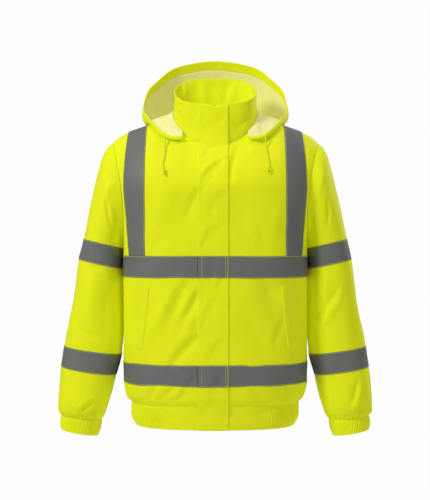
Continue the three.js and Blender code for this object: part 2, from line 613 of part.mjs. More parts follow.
const flapXs = [-FLAP_EDGE.right, -ZIP_HALF_OPENING, ZIP_HALF_OPENING, FLAP_EDGE.left];
const flap = sheet(FRONT_LINE.map((row) => flapXs.map((x) => frontLinePoint(x, row))));
wallOn('storm_flap', flap, SEAM_GAP, SEAM_GAP + FLAP_WALL, YELLOW);

const zipXs = [-ZIP_HALF_WIDTH, -ZIP_HALF_OPENING, ZIP_HALF_OPENING, ZIP_HALF_WIDTH];
const zip = sheet(FRONT_LINE.map((row) => zipXs.map((x) => frontLinePoint(x, row))));
const besideCollar = (row) => row.rise !== undefined || row.angle === 0;
const behind = (r) => -(besideCollar(FRONT_LINE[r]) ? COLLAR_WALL : SHELL_WALL) - ZIP_BEHIND;
wall('zip', moved(zip, (r) => behind(r) - ZIP_WALL), moved(zip, behind), ZIP_YELLOW);

// Reflective tapes lie on the panels they are sewn to
const tapeOn = (name, source, rise = SEAM_GAP) => wallOn(name, source, rise, rise + TAPE_WALL, TAPE_GREY);
const BODY_TAPES = { waist: [WAIST_ROW, WAIST_ROW + 1], lower: [LOWER_ROW, LOWER_ROW + 1] };
for (const [word, [low, high]] of Object.entries(BODY_TAPES)) {
  tapeOn(`${word}_tape_front_right`, part(panels.right, low, high, 1));
  tapeOn(`${word}_tape_front_left`, part(panels.left, low, high, 1));
  tapeOn(`${word}_tape_back`, part(panels.back, low, high));
  const offset = BAND_ROW_HEIGHTS.length - 1;
  tapeOn(`${word}_tape_flap`, part(flap, low + offset, high + offset), FLAP_WALL + 2 * SEAM_GAP);
}
for (const [word, source] of Object.entries(sleeves)) {
  for (const level of ['upper', 'lower']) {
    const first = 1 + SLEEVE_RINGS.findIndex((ring) => ring.tape === level);
    tapeOn(`sleeve_tape_${level}_${word}`, part(source, first, first + 1));
  }
}

// Braces run from the front waist tape over the shoulder to the back one
for (const [word, side] of Object.entries(SIDES)) {
  const front = part(panels[word], WAIST_ROW + 1, BODY_ROWS.length - 1, FRONT_BRACE_COL, FRONT_BRACE_COL + 2);
  const cols = [0, 1, 2].map((i) => backCol(side, BACK_BRACE_COL + i));
  const rows = Array.from({ length: BODY_ROWS.length - WAIST_ROW - 1 }, (_, i) => BODY_ROWS.length - 1 - i);
  const pick = (grid) => rows.slice(1).map((r) => cols.map((c) => grid[r][c]));
  const brace = {
    points: [...front.points, ...pick(panels.back.points)].map((row) => row.map((p) => p.clone())),
    normals: [...front.normals, ...pick(panels.back.normals)],
    tube: false,
  };
  for (const row of [brace.points[0], brace.points[brace.points.length - 1]]) {
    for (const point of row) point.z += SEAM_GAP;
  }
  tapeOn(`brace_${word}`, brace);
}

// Pocket welts, on the front panels beside the side seams
for (const [word, side] of Object.entries(SIDES)) {
  const rows = Array.from({ length: WELT.steps + 1 }, (_, i) => {
    const share = i / WELT.steps;
    const middle = lerp(WELT.topX, WELT.bottomX, share);
    const z = lerp(WELT.topZ, WELT.bottomZ, share);
    return [-0.5, 0, 0.5].map((across) => lowerPoint(-1, side, { chest: middle + across * WELT.width }, z));
  });
  wallOn(`pocket_welt_${word}`, sheet(rows, { flip: side > 0 }), WELT.lift, WELT.lift + WELT_WALL, YELLOW);
}

// Hood: half a bowl on each side of the centre seam
const hoodTable = HOOD.map(({ angle, rim, near, far }) => ({
  angle, rimX: rim[0], rimY: rim[1], rimZ: rim[2], nearX: near[0], nearY: near[1], nearZ: near[2],
  farX: far[0], farY: far[1], farZ: far[2],
}));
const bodySamples = [];
for (const face of [-1, 1]) {
  const source = face < 0 ? panels.left : panels.back;
  const first = face < 0 ? 0 : BACK_MIDDLE;
  const span = source.points[0].length - 1 - first;
  for (let step = 0; step <= SURFACE_SAMPLES.across; step += 1) {
    const c = first + span * step / SURFACE_SAMPLES.across;
    const whole = Math.min(Math.floor(c), first + span - 1);
    const at = (grid, row) => grid[row][whole].clone().lerp(grid[row][whole + 1], c - whole);
    for (let r = ARMPIT_ROW; r < BODY_ROWS.length - 1; r += 1) {
      for (let i = 0; i <= SURFACE_SAMPLES.along; i += 1) {
        const share = i / SURFACE_SAMPLES.along;
        bodySamples.push({ point: at(source.points, r).lerp(at(source.points, r + 1), share),
          normal: at(source.normals, r).lerp(at(source.normals, r + 1), share).normalize() });
      }
    }
  }
}

// Lifts a point off the body's surface where it lies too near to it
function offBody(point, clearance) {
  let best = bodySamples[0];
  let nearest = Infinity;
  for (const sample of bodySamples) {
    const distance = sample.point.distanceToSquared(point);
    if (distance < nearest) {
      nearest = distance;
      best = sample;
    }
  }
  const height = point.clone().sub(best.point).dot(best.normal);
  if (height < clearance) point.addScaledVector(best.normal, clearance - height);
  return point;
}

function hoodProfile(angle) {
  const at = (key) => tableAt(hoodTable, 'angle', angle, key);
  const base = neckAt(angle);
  const out = V(base.x, base.y - NECK.midY, 0).normalize();
  base.addScaledVector(out, HOOD_SEAM_OUT).add(V(0, 0, HOOD_SEAM_LIFT));
  if (angle === 180) base.x = HALF_GAP;
  const curve = new THREE.CubicBezierCurve3(base, V(at('nearX') || HALF_GAP, at('nearY'), at('nearZ')),
    V(at('farX') || HALF_GAP, at('farY'), at('farZ')), V(at('rimX') || HALF_GAP, at('rimY'), at('rimZ')));
  const length = curve.getLength();
  const facing = FACING_WIDTH / length;
  const stops = Array.from({ length: LINING_ROWS + FACING_ROWS + 1 }, (_, i) => (i <= LINING_ROWS
    ? (1 - facing) * i / LINING_ROWS : 1 - facing + facing * (i - LINING_ROWS) / FACING_ROWS));
  return stops.map((share) => {
    const clearance = lerp(HOOD_SEAM_LIFT, HOOD_CLEARANCE, Math.min(1, share * length / HOOD_LIFT_OFF));
    return offBody(offBody(curve.getPointAt(share), clearance), clearance);
  });
}

const hoodColumns = HOOD_ANGLES.map(hoodProfile);
for (const [word, side] of Object.entries(SIDES)) {
  const rows = hoodColumns[0].map((_, r) => hoodColumns.map((column) => (
    V(side * column[r].x, column[r].y, column[r].z))));
  const hood = sheet(rows, { flip: side < 0 });
  for (const row of hood.normals) {
    const seam = row[row.length - 1];
    seam.x = 0;
    seam.normalize();
  }
  const lining = -HOOD_WALL - SEAM_GAP;
  const rim = part(hood, LINING_ROWS, LINING_ROWS + FACING_ROWS);
  wallOn(`hood_${word}`, hood, -HOOD_WALL, 0, YELLOW);
  wallOn(`hood_facing_${word}`, rim, lining - LINING_WALL, lining, YELLOW);
  const inner = part(hood, 0, LINING_ROWS);
  const edge = inner.points.length - 1;
  inner.points[edge] = inner.points[edge].map((point, c) => (
    point.clone().lerp(inner.points[edge - 1][c], SEAM_GAP / point.distanceTo(inner.points[edge - 1][c]))));
  wallOn(`hood_lining_${word}`, inner, lining - LINING_WALL, lining, CREAM);
}

// Drawcords with a knot at each free end
for (const [word, route] of Object.entries(CORD_ROUTES)) {
  const curve = new THREE.CatmullRomCurve3(route.map((p) => V(...p)));
  const section = new THREE.Shape();
  section.absarc(0, 0, CORD.radius, 0, 2 * Math.PI, false);
  addPiece(`drawcord_${word}`, new THREE.ExtrudeGeometry(section,
    { extrudePath: curve, steps: CORD.steps, curveSegments: CORD.sides / 2 }), CORD_YELLOW);
  const end = curve.getPoint(1);
  const along = curve.getTangent(1);
  const knot = new THREE.SphereGeometry(1, KNOT.sides, KNOT.rings);
  knot.scale(KNOT.radius, KNOT.radius, KNOT.length / 2);
  knot.applyQuaternion(new THREE.Quaternion().setFromUnitVectors(V(0, 0, 1), along));
  end.addScaledVector(along, KNOT.length / 2 + SEAM_GAP);
  knot.translate(end.x, end.y, end.z);
  addPiece(`drawcord_knot_${word}`, knot, CORD_YELLOW);
}

export default jacket;
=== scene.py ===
"""A fluorescent hi-vis work jacket with hood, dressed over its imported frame.

The cloth follows surfaces worked out from the garment's sizes, which stand in short tables in
millimetres. Meshes are in metres, +Z up; the front faces -Y and the wearer's left is +X.
"""

import logging
import math
from dataclasses import dataclass, field
from enum import Enum
from typing import NamedTuple, Optional, Sequence

import bpy
import numpy as np
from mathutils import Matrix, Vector
from mathutils.kdtree import KDTree


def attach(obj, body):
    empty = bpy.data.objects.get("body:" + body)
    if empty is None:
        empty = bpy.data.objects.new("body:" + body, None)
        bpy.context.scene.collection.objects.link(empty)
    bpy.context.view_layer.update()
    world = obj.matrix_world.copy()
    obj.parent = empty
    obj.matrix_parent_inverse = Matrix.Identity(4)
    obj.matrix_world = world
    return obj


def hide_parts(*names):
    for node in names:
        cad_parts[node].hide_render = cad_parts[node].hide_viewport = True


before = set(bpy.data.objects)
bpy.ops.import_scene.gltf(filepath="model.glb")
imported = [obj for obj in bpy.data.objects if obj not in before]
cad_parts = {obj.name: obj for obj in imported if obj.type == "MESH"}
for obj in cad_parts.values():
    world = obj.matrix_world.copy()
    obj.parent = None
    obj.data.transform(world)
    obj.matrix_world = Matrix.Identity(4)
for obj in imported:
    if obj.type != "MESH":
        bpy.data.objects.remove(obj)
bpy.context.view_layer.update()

Array = np.ndarray
MM = 0.001
BODY = "root"
UV_NAME = "cloth"
CREASE_STRENGTH = 1.4
LOG = logging.getLogger("jacket")


class Side(Enum):
    """The wearer's side that a piece is on."""

    RIGHT = -1
    LEFT = 1

    @property
    def word(self) -> str:
        """The side's word in the names of pieces."""
        return self.name.lower()


class Face(Enum):
    """Front or back of the body."""

    FRONT = -1
    BACK = 1


def lerp(start: Array, stop: Array, share: Array) -> Array:
    """Goes from start to stop by a share."""
    return start + (stop - start) * share


def smoothstep(value: Array, low: float, high: float) -> Array:
    """Rises smoothly from 0 at low to 1 at high."""
    share = np.clip((value - low) / (high - low), 0.0, 1.0)
    return share * share * (3.0 - 2.0 * share)


def hermite(start: Array, start_slope: Array, stop: Array, stop_slope: Array, t: Array) -> Array:
    """A cubic between two values with given slopes."""
    s = 1.0 - t
    ends = start * (1.0 + 2.0 * t) * s * s + stop * t * t * (3.0 - 2.0 * t)
    return ends + start_slope * t * s * s - stop_slope * t * t * s


def powered(value: Array, power: Array) -> Array:
    """A power that keeps the value's sign."""
    return np.sign(value) * np.abs(value) ** power


def bump(value: Array, middle: float, width: float) -> Array:
    """A soft bell of height 1 round a middle."""
    return np.exp(-(((value - middle) / width) ** 2))


def points_of(x: Array, y: Array, z: Array) -> Array:
    """Joins three arrays of coordinates into one array of points."""
    return np.stack(np.broadcast_arrays(x, y, z), axis=-1).astype(float)


def unit(vectors: Array) -> Array:
    """Vectors brought to length 1."""
    return vectors / np.maximum(np.linalg.norm(vectors, axis=-1, keepdims=True), 1e-9)


def steps(start: float, stop: float, count: int, inset: float = 0.0) -> Array:
    """Even steps from start to stop, with one more close to each end if an inset is given.

    Args:
        start: The first value.
        stop: The last value.
        count: How many even steps there are.
        inset: How far from each end the extra value lies.

    Returns:
        The values in order.
    """
    values = np.linspace(start, stop, count + 1)
    if inset:
        sign = math.copysign(inset, stop - start)
        values = np.unique(np.concatenate([values, [start + sign, stop - sign]]))
        values = values if stop > start else values[::-1]
    return values


class SizeTable:
    """Smooth values between the rows of a short table with named columns."""

    def __init__(self, columns: str, rows: Sequence[Sequence[float]], level: Sequence[str] = ()) -> None:
        """Takes the columns' names, key first, rows that rise in it, and columns that end level."""
        self.level = set(level)
        data = np.array(rows, float)
        self.key = data[:, 0]
        self.values = {name: data[:, i + 1] for i, name in enumerate(columns.split()[1:])}

    def at(self, column: str, key: Array) -> Array:
        """Reads one column at any key, without overshoot between the rows.

        Args:
            column: The column's name.
            key: Where to read, as a number or an array.

        Returns:
            The values there, with the table's ends held.
        """
        values = self.values[column]
        x = np.clip(key, self.key[0], self.key[-1])
        i = np.clip(np.searchsorted(self.key, x, side="right") - 1, 0, len(self.key) - 2)
        secants = np.diff(values) / np.diff(self.key)
        before, after = secants[:-1], secants[1:]
        same = before * after > 0
        total = np.where(same, before + after, 1.0)
        slopes = np.concatenate([secants[:1], np.where(same, 2 * before * after / total, 0.0), secants[-1:]])
        if column in self.level:
            slopes[-1] = 0.0
        span = self.key[i + 1] - self.key[i]
        t = (x - self.key[i]) / span
        return hermite(values[i], slopes[i] * span, values[i + 1], slopes[i + 1] * span, t)


class SoftNoise:
    """Smooth noise from -1 to 1 on a lattice that repeats, the same on every run."""

    def __init__(self, seed: int, size: int = 64) -> None:
        """Draws the lattice from a fixed seed."""
        self.size = size
        self.lattice = np.random.default_rng(seed).uniform(-1.0, 1.0, (size, size))

    def at(self, x: Array, y: Array) -> Array:
        """The noise at lattice coordinates."""
        x, y = np.broadcast_arrays(np.asarray(x, float), np.asarray(y, float))
        i, j = np.floor(x).astype(int), np.floor(y).astype(int)
        fx, fy = smoothstep(x - i, 0, 1), smoothstep(y - j, 0, 1)
        n = self.size
        low = lerp(self.lattice[i % n, j % n], self.lattice[(i + 1) % n, j % n], fx)
        high = lerp(self.lattice[i % n, (j + 1) % n], self.lattice[(i + 1) % n, (j + 1) % n], fx)
        return lerp(low, high, fy)


class Crease(NamedTuple):
    """One trough or ridge in a surface's own plane, in millimetres; the turn is in degrees.

    A positive lip raises a ridge beside the trough; a negative width puts it on the other side.
    """

    x: float
    z: float
    turn: float
    length: float
    width: float
    depth: float
    bow: float = 0.0
    lip: float = 0.0


def creases(*rows: tuple[float, ...]) -> tuple[Crease, ...]:
    """A table of creases from rows of their numbers."""
    return tuple(Crease(*row) for row in rows)


def crease_relief(creases: Sequence[Crease], x: Array, z: Array, wrap: float = 0.0) -> Array:
    """Adds up how far creases move the cloth out.

    Args:
        creases: The creases.
        x: Places across the surface.
        z: Places up it.
        wrap: The distance after which x repeats, or 0.

    Returns:
        The relief at each place, in millimetres.
    """
    total = np.zeros(np.broadcast(x, z).shape)
    for crease in creases:
        dx = x - crease.x
        if wrap:
            dx = (dx + wrap / 2) % wrap - wrap / 2
        c, s = math.cos(math.radians(crease.turn)), math.sin(math.radians(crease.turn))
        along = (dx * c + (z - crease.z) * s) / (crease.length / 2)
        middle = np.clip(1.0 - along * along, 0.0, None)
        across = ((z - crease.z) * c - dx * s - crease.bow * middle) / crease.width
        across = across / (0.55 + 0.45 * middle)
        profile = np.exp(-np.abs(across) ** 1.6) - crease.lip * np.exp(-(((across - 1.7) / 1.1) ** 2))
        total = total + crease.depth * middle ** 1.3 * profile
    return total * CREASE_STRENGTH


class Uneven(NamedTuple):
    """Soft unevenness: its height, its pitch across and along, and where its noise is read."""

    height: float
    across: float
    along: float
    shift_across: float = 0.0
    shift_along: float = 0.0

    def relief(self, noise: SoftNoise, x: Array, z: Array) -> Array:
        """How far it moves the cloth out at each place."""
        return self.height * noise.at(x / self.across + self.shift_across, z / self.along + self.shift_along)


class SeamPull(NamedTuple):
    """How a seam draws the cloth in beside it and ripples it, in millimetres."""

    depth: float
    width: float
    ripple: float = 0.0
    fade: float = 8.0

    RIPPLE_START = 4.0

    def relief(self, distance: Array, wave: Array = 0.0) -> Array:
        """The relief at a distance from the seam, with a wave from -1 to 1 along it."""
        started = smoothstep(distance, 0, self.RIPPLE_START)
        ripple = self.ripple * wave * np.exp(-distance / self.fade) * started
        return ripple - self.depth * bump(distance, 0, self.width)


def tape_relief(place: Array, low: float, high: float, ripple: Array) -> Array:
    """How a sewn tape pinches the cloth under its edges and ripples it beside them.

    Args:
        place: Places along the cloth.
        low: Where the tape starts along it.
        high: Where it ends.
        ripple: The height of the ripple at each place.

    Returns:
        The relief at each place, in millimetres.
    """
    pinch, inset, width, beside, reach = 0.3, 2.5, 1.8, 4.0, 6.0
    return sum(ripple * bump(place, edge - inward * beside, reach)
               - pinch * bump(place, edge + inward * inset, width)
               for edge, inward in ((low, 1), (high, -1)))


def wave_along(place: Array, pitch: float, drift: Array = 0.0) -> Array:
    """A wave from -1 to 1 with a pitch, moved along by a drift in radians."""
    return np.sin(2 * math.pi * place / pitch + drift)


class Section(NamedTuple):
    """A body section: half width, depth to one face, roundness and where its edge lies."""

    half: Array
    depth: Array
    power: Array
    edge_y: Array

    def depth_at(self, x: Array) -> Array:
        """Depth of the section at a distance from the centre line."""
        inside = np.clip(1.0 - (np.abs(x) / self.half) ** self.power, 0.0, None)
        return self.depth * inside ** (1.0 / self.power)

    def width_at(self, y: Array) -> Array:
        """Half width of the section at a depth."""
        inside = np.clip(1.0 - (np.abs(y) / self.depth) ** self.power, 0.0, None)
        return self.half * inside ** (1.0 / self.power)


class BodyTape(NamedTuple):
    """A tape round the body: its edges' heights, and each edge's swing and noise seed."""

    name: str
    low: float
    high: float
    low_swing: float
    low_seed: int
    high_swing: float
    high_seed: int

    CALM_CENTRE, CALM_SIDE, WANDER_PITCH = (40.0, 75.0), (230.0, 285.0), 44.0

    def rows(self, across: Array, up: Array) -> Array:
        """Heights of the tape's rows at each column, as its edges wander from their level.

        Args:
            across: The columns' keys.
            up: The level heights of the rows, from low to high.

        Returns:
            A row of heights for each of them.
        """
        aside = np.abs(across)
        calm = smoothstep(aside, *self.CALM_CENTRE) * (1 - smoothstep(aside, *self.CALM_SIDE))
        place = across / self.WANDER_PITCH + 12
        low = self.low + self.low_swing * calm * SoftNoise(self.low_seed).at(place, 3.0)
        high = self.high + self.high_swing * calm * SoftNoise(self.high_seed).at(place, 3.0)
        return lerp(low, high, ((up - self.low) / (self.high - self.low))[:, None])


@dataclass
class JacketForm:
    """The jacket's smooth surfaces, worked out from its measurements in millimetres.

    A place on the body has two coordinates. Across is x at chest height as far as the brace's
    outer edge, and goes on from there to the side seam or armhole. Up is the height as far as the
    chest, then goes on to the shoulder or neck seam, and from there up the collar.
    """

    hem: float = -741.5
    band_top: float = -688.0
    armpit: float = -305.0
    chest: float = -187.5
    upper: float = 150.0
    collar_height: float = 60.0
    brace_in: float = 163.0
    brace_out: float = 214.0
    edge: float = 294.0
    corner: float = 115.0
    lower_tape: BodyTape = BodyTape("lower", -640.5, -591.0, 2.6, 5, 2.2, 6)
    waist_tape: BodyTape = BodyTape("waist", -391.0, -341.0, 1.2, 7, 0.7, 8)
    flap_right: float = 38.5
    flap_left: float = 29.1
    opening: float = 3.0
    band_plain: float = 136.0
    band_middle: float = -715.0
    gap: float = 0.15

    sections: SizeTable = SizeTable("z half front back power", [
        (-741.5, 196.5, 137, 138, 2.4), (-715, 199, 139.5, 141, 2.4), (-688, 200, 140, 142, 2.4),
        (-676, 211, 146, 149, 2.4), (-660, 217, 150, 153, 2.4), (-640.5, 219, 151.5, 154, 2.45),
        (-540, 219, 151, 151, 2.6), (-391, 219, 150, 146, 2.8), (-305, 219, 150, 145, 3),
        (-187.5, 219, 150, 145, 3)])
    full_half: float = 219.0
    narrowed_from: float = 150.0
    brace_edge: SizeTable = SizeTable("z x", [(-341, 202), (-305, 205), (-223, 211), (-187.5, 214)])
    brace_ramp: float = 188.0

    neck_half: float = 100.0
    neck_y: float = -15.0
    neck_depth: float = 80.0
    neck_heights: SizeTable = SizeTable("angle z", [
        (0, -84), (30, -72), (60, -38), (90, -4), (110, 9), (140, 15), (180, 18)])
    neck_turns: SizeTable = SizeTable("across turn", [
        (0, 0), (27, 15.7), (58, 34.7), (79, 50.3), (99, 70), (115, 90)])
    shoulder: SizeTable = SizeTable("x y z", [
        (100, -15, -4), (133, -10, -16), (164, -6, -29), (207, -1, -44), (230, 3, -56), (247, 5, -70)])
    shoulder_x: SizeTable = SizeTable("across x", [
        (115, 100), (139, 133), (163, 163), (188, 186), (214, 207), (240.7, 221), (267.3, 235), (294, 247)])

    collar_half: float = 99.0
    collar_y: float = -8.0
    collar_depth: float = 77.0
    collar_z: float = 53.0
    collar_tilt: float = 41.0
    collar_power: float = 2.9

    arm_front: float = 90.0
    arm_back: float = 92.0
    arm_shift: float = 5.0
    arm_x: float = 220.0
    arm_lean: float = 14.0
    arm_bow: float = 13.0
    arm_start: tuple[float, ...] = (247.0, -70.0, 219.0, -305.0)
    ring_rows: tuple[tuple[float, ...], ...] = (
        (257, -78, 219.9, -305.6, 91.5, 2, 2), (268, -96, 220.2, -306.6, 92, 3, 2.05),
        (276.5, -123, 220.4, -308.4, 92.5, 4, 2.1), (288, -169, 220.6, -311, 92.5, 6, 2.15),
        (300, -223, 220.8, -315, 91.5, 8, 2.2), (315, -300.5, 221, -322, 89.5, 10, 2.25),
        (327, -349, 222, -372.5, 88, 11, 2.25), (340, -428, 222, -447, 85, 11, 2.25),
        (350, -493, 222.5, -511, 81, 8, 2.25), (361, -556, 226, -575, 76, 4, 2.25),
        (368, -605, 238, -625, 73, 0, 2.25), (373, -650, 246, -662, 71, -5, 2.2),
        (374.5, -688, 255, -693, 66, -10, 2.2), (373.5, -707, 262, -713, 58, -14, 2.1),
        (366.5, -721.5, 272, -730.5, 45, -17, 2))
    upper_tape_ring: int = 5
    lower_tape_ring: int = 9
    cuff_rings: SizeTable = SizeTable("down out_x out_z in_x in_z deep mid power", [
        (0, 366.5, -721.9, 272, -730.9, 45, -17, 2), (17, 368.5, -738, 275.5, -749, 44, -18, 2),
        (35, 366.5, -753, 281.5, -768, 41, -20, 2)])
    sleeve_room: tuple[float, float, float] = (0.5, 3.0, 30.0)

    hood_handles: SizeTable = SizeTable("angle rim_x rim_y rim_z near_x near_y near_z far_x far_y far_z", [
        (50, 77, -93, -62, 77, -81, -66, 80, -102, -78), (56, 95, -93, -61.5, 90, -80, -67, 98, -103, -80),
        (62, 114, -88, -55.5, 102, -76, -62, 118, -100, -77),
        (70, 134, -73, -41, 116, -59, -51, 140, -83, -66),
        (80, 155, -36, -17.5, 129, -35, -35, 163, -42, -47), (100, 175, 20, 17, 145, 5, -25, 187, 14, -44),
        (120, 168, 70, 62, 122, 50, -55, 196, 108, -66), (140, 137, 110, 104, 80, 78, -85, 172, 190, -108),
        (160, 87, 135, 135, 40, 97, -104, 102, 262, -140), (180, 0, 145, 149, 0, 105, -110, 0, 285, -150)],
        level=("rim_y", "rim_z", "near_y", "near_z", "far_y", "far_z"))
    hood_from: float = 50.0
    hood_to: float = 180.0
    hood_seam_out: float = 0.8
    hood_seam_lift: float = 1.5
    hood_clearance: float = 5.0
    hood_lift_off: float = 10.0
    facing: float = 22.0

    def __post_init__(self) -> None:
        """Works out the distance along the sleeve at each of its rings."""
        along, rows, before = 0.0, [], self.arm_start
        for ring in self.ring_rows:
            outer = math.hypot(ring[0] - before[0], ring[1] - before[1])
            inner = math.hypot(ring[2] - before[2], ring[3] - before[3])
            along += (outer + inner) / 2
            rows.append((along, *ring))
            before = ring[:4]
        self.rings = SizeTable("along out_x out_z in_x in_z deep mid power", rows)
        self.ring_along = [row[0] for row in rows]

    @property
    def top(self) -> float:
        """Where up reaches the neck and shoulder seams."""
        return self.chest + self.upper

    @property
    def collar_top(self) -> float:
        """Where up reaches the collar's top edge."""
        return self.top + self.collar_height

    @property
    def tapes(self) -> tuple[BodyTape, BodyTape]:
        """Both tapes round the body, the waist tape first."""
        return self.waist_tape, self.lower_tape

    def section(self, face: Face, z: Array) -> Section:
        """The body's section at a height."""
        z = np.asarray(z, float)
        power = self.sections.at("power", z)
        depth = self.sections.at("front" if face is Face.FRONT else "back", z)
        turn = np.degrees(np.arccos(np.clip((z - self.chest) / (self.chest - self.armpit), -1, 1)))
        edge = self.armhole(-face.value * turn)
        above = z > self.armpit
        edge_y = np.where(above, np.maximum(self.gap, face.value * edge[..., 1]), self.gap)
        widened = edge[..., 0] / (1 - (edge_y / depth) ** power) ** (1 / power)
        half = np.where(above, widened, self.sections.at("half", z))
        return Section(half, depth, power, edge_y)

    def armhole(self, angle: Array) -> Array:
        """The armhole loop, from the shoulder (0) over the front (90) or back (-90) to the armpit."""
        c, s = np.cos(np.radians(angle)), np.sin(np.radians(angle))
        reach = np.where(s > 0, self.arm_front, self.arm_back)
        return points_of(self.arm_x + self.arm_lean * c + self.arm_bow * c * c,
                         self.arm_shift * (1 + c) / 2 - reach * s,
                         self.chest + (self.chest - self.armpit) * c)

    def neck(self, angle: Array) -> Array:
        """The neck seam, by angle from the front centre."""
        a = np.radians(angle)
        return points_of(self.neck_half * np.sin(a), self.neck_y - self.neck_depth * np.cos(a),
                         self.neck_heights.at("z", np.abs(angle)))

    def _drawn_in(self, x: Array, z: Array) -> Array:
        """Draws an x in with the body's width towards the waistband."""
        narrowing = 1 - np.minimum(1, self.sections.at("half", z) / self.full_half)
        return x * (1 - narrowing * np.minimum(1, (x / self.narrowed_from) ** 2))

    def _below_chest(self, face: Face, across: Array, z: Array) -> Array:
        """Body points up to chest height, on the wearer's left."""
        section = self.section(face, z)
        brace = self.brace_edge.at("x", z)
        ramp = np.clip((across - self.brace_ramp) / (self.brace_out - self.brace_ramp), 0, 1)
        x = self._drawn_in(across + ramp * (brace - self.brace_out), z)
        start = section.depth_at(self._drawn_in(brace, z))
        share = (across - self.brace_out) / (self.edge - self.brace_out)
        side_y = lerp(start, section.edge_y, share)
        outer = share > 0
        y = np.where(outer, side_y, section.depth_at(x))
        return points_of(np.where(outer, section.width_at(side_y), x), face.value * y, z)

    def _to_shoulder(self, face: Face, across: Array, rise: Array) -> Array:
        """Body points from the chest (rise 0) to the neck seam or the shoulder (1)."""
        start = self._below_chest(face, across, np.full(np.shape(rise), self.chest))
        turn = self.neck_turns.at("turn", across)
        neck = self.neck(turn if face is Face.FRONT else 180 - turn)
        x = self.shoulder_x.at("x", across)
        shoulder = points_of(x, self.shoulder.at("y", x) + face.value * self.gap, self.shoulder.at("z", x))
        at_neck = across <= self.corner
        end = np.where(at_neck[..., None], neck, shoulder)
        top_x = np.where(at_neck, neck[..., 0], x)
        outward = smoothstep(top_x, 100, 163)
        pull = lerp(1.1, 1.25, outward) + 0.3 * smoothstep(top_x, 186, 247)
        run, climb = end[..., 1] - start[..., 1], end[..., 2] - start[..., 2]
        return points_of(
            lerp(start[..., 0], end[..., 0], rise * rise * (3 - 2 * rise)),
            hermite(start[..., 1], 0, end[..., 1], pull * run, rise),
            hermite(start[..., 2], pull * climb, end[..., 2], 0.75 * (1 - outward) * climb, rise))

    def _collar(self, angle: Array, rise: Array) -> Array:
        """Collar points by angle from the front centre, on the wearer's left."""
        base = self.neck(angle)
        s, c = np.sin(np.radians(angle)), np.cos(np.radians(angle))
        round_x = self.collar_half * powered(s, 2 / self.collar_power)
        x = lerp(base[..., 0], round_x, smoothstep(angle, 23, 45))
        inside = np.clip(1 - (np.abs(x) / self.collar_half) ** self.collar_power, 0, None)
        flat_y = self.collar_y - self.collar_depth * inside ** (1 / self.collar_power)
        round_y = self.collar_y - self.collar_depth * powered(c, 2 / self.collar_power)
        top = points_of(x, np.where(angle < 45, flat_y, round_y), self.collar_z - self.collar_tilt * c)
        base = base + (0, 0, 2 * self.gap)
        return lerp(base, top, np.asarray(rise)[..., None])

    def collar(self, turn: Array, rise: Array) -> Array:
        """Collar points; turn is signed, 0 at the centre back and 180 at the front centre."""
        turn, rise = np.broadcast_arrays(turn, rise)
        return self._collar(180 - np.abs(turn), rise) * points_of(np.where(turn < 0, -1, 1), 1, 1)

    def body(self, face: Face, across: Array, up: Array) -> Array:
        """Body points at across and up; across is negative on the wearer's right."""
        signed, up = np.broadcast_arrays(np.asarray(across, float), np.asarray(up, float))
        across = np.abs(signed)
        lower = self._below_chest(face, across, np.minimum(up, self.chest))
        rise = np.clip((up - self.chest) / self.upper, 0, 1)
        upper = self._to_shoulder(face, across, rise)
        at_edge = self._to_shoulder(face, np.full(across.shape, self.edge), rise)
        pulled = self.armhole(-face.value * 90 * (1 - rise)) - at_edge
        share = np.clip((across - self.brace_out) / (self.edge - self.brace_out), 0, 1)
        upper = upper + pulled * (share ** 3)[..., None]
        point = np.where((up > self.chest)[..., None], upper, lower)
        return point * points_of(np.where(signed < 0, -1, 1), 1, 1)

    def _ring(self, table: SizeTable, angle: Array, key: Array) -> Array:
        """Points on a ring of a table, by angle from its outer end over the front."""
        get = {name: table.at(name, key) for name in table.values}
        c = powered(np.cos(np.radians(angle)), 2 / get["power"])
        s = powered(np.sin(np.radians(angle)), 2 / get["power"])
        return points_of((get["out_x"] + get["in_x"]) / 2 + (get["out_x"] - get["in_x"]) / 2 * c,
                         get["mid"] - get["deep"] * s,
                         (get["out_z"] + get["in_z"]) / 2 + (get["out_z"] - get["in_z"]) / 2 * c)

    def beside_body(self, points: Array) -> Array:
        """Moves sleeve points, on the wearer's left, clear of the body beside them."""
        x, y, z = points[..., 0], points[..., 1], points[..., 2]
        armpit, below, drop = self.sleeve_room
        room = lerp(armpit, below, smoothstep(self.armpit - z, 0, drop))
        for face in Face:
            section = self.section(face, np.minimum(z, self.armpit))
            near = (z <= self.armpit) & (np.sign(y) == face.value) & (np.abs(y) < section.depth)
            x = np.where(near, np.maximum(x, section.width_at(y) + room), x)
        return points_of(x, y, z)

    def sleeve(self, side: Side, angle: Array, along: Array) -> Array:
        """Sleeve points by angle and distance from the armhole."""
        angle, along = np.broadcast_arrays(np.asarray(angle, float), np.asarray(along, float))
        first = self.ring_along[0]
        ring = self.beside_body(self._ring(self.rings, angle, np.maximum(along, first)))
        signed = (angle + 180) % 360 - 180
        start = self.armhole(signed) + (2 * self.gap, 0, 0)
        point = lerp(start, ring, smoothstep(along, 0, first)[..., None])
        return point * (side.value, 1, 1)

    def cuff(self, side: Side, angle: Array, down: Array) -> Array:
        """Cuff points by angle and distance down from the sleeve's end."""
        angle, down = np.broadcast_arrays(np.asarray(angle, float), np.asarray(down, float))
        return self._ring(self.cuff_rings, angle, down) * (side.value, 1, 1)

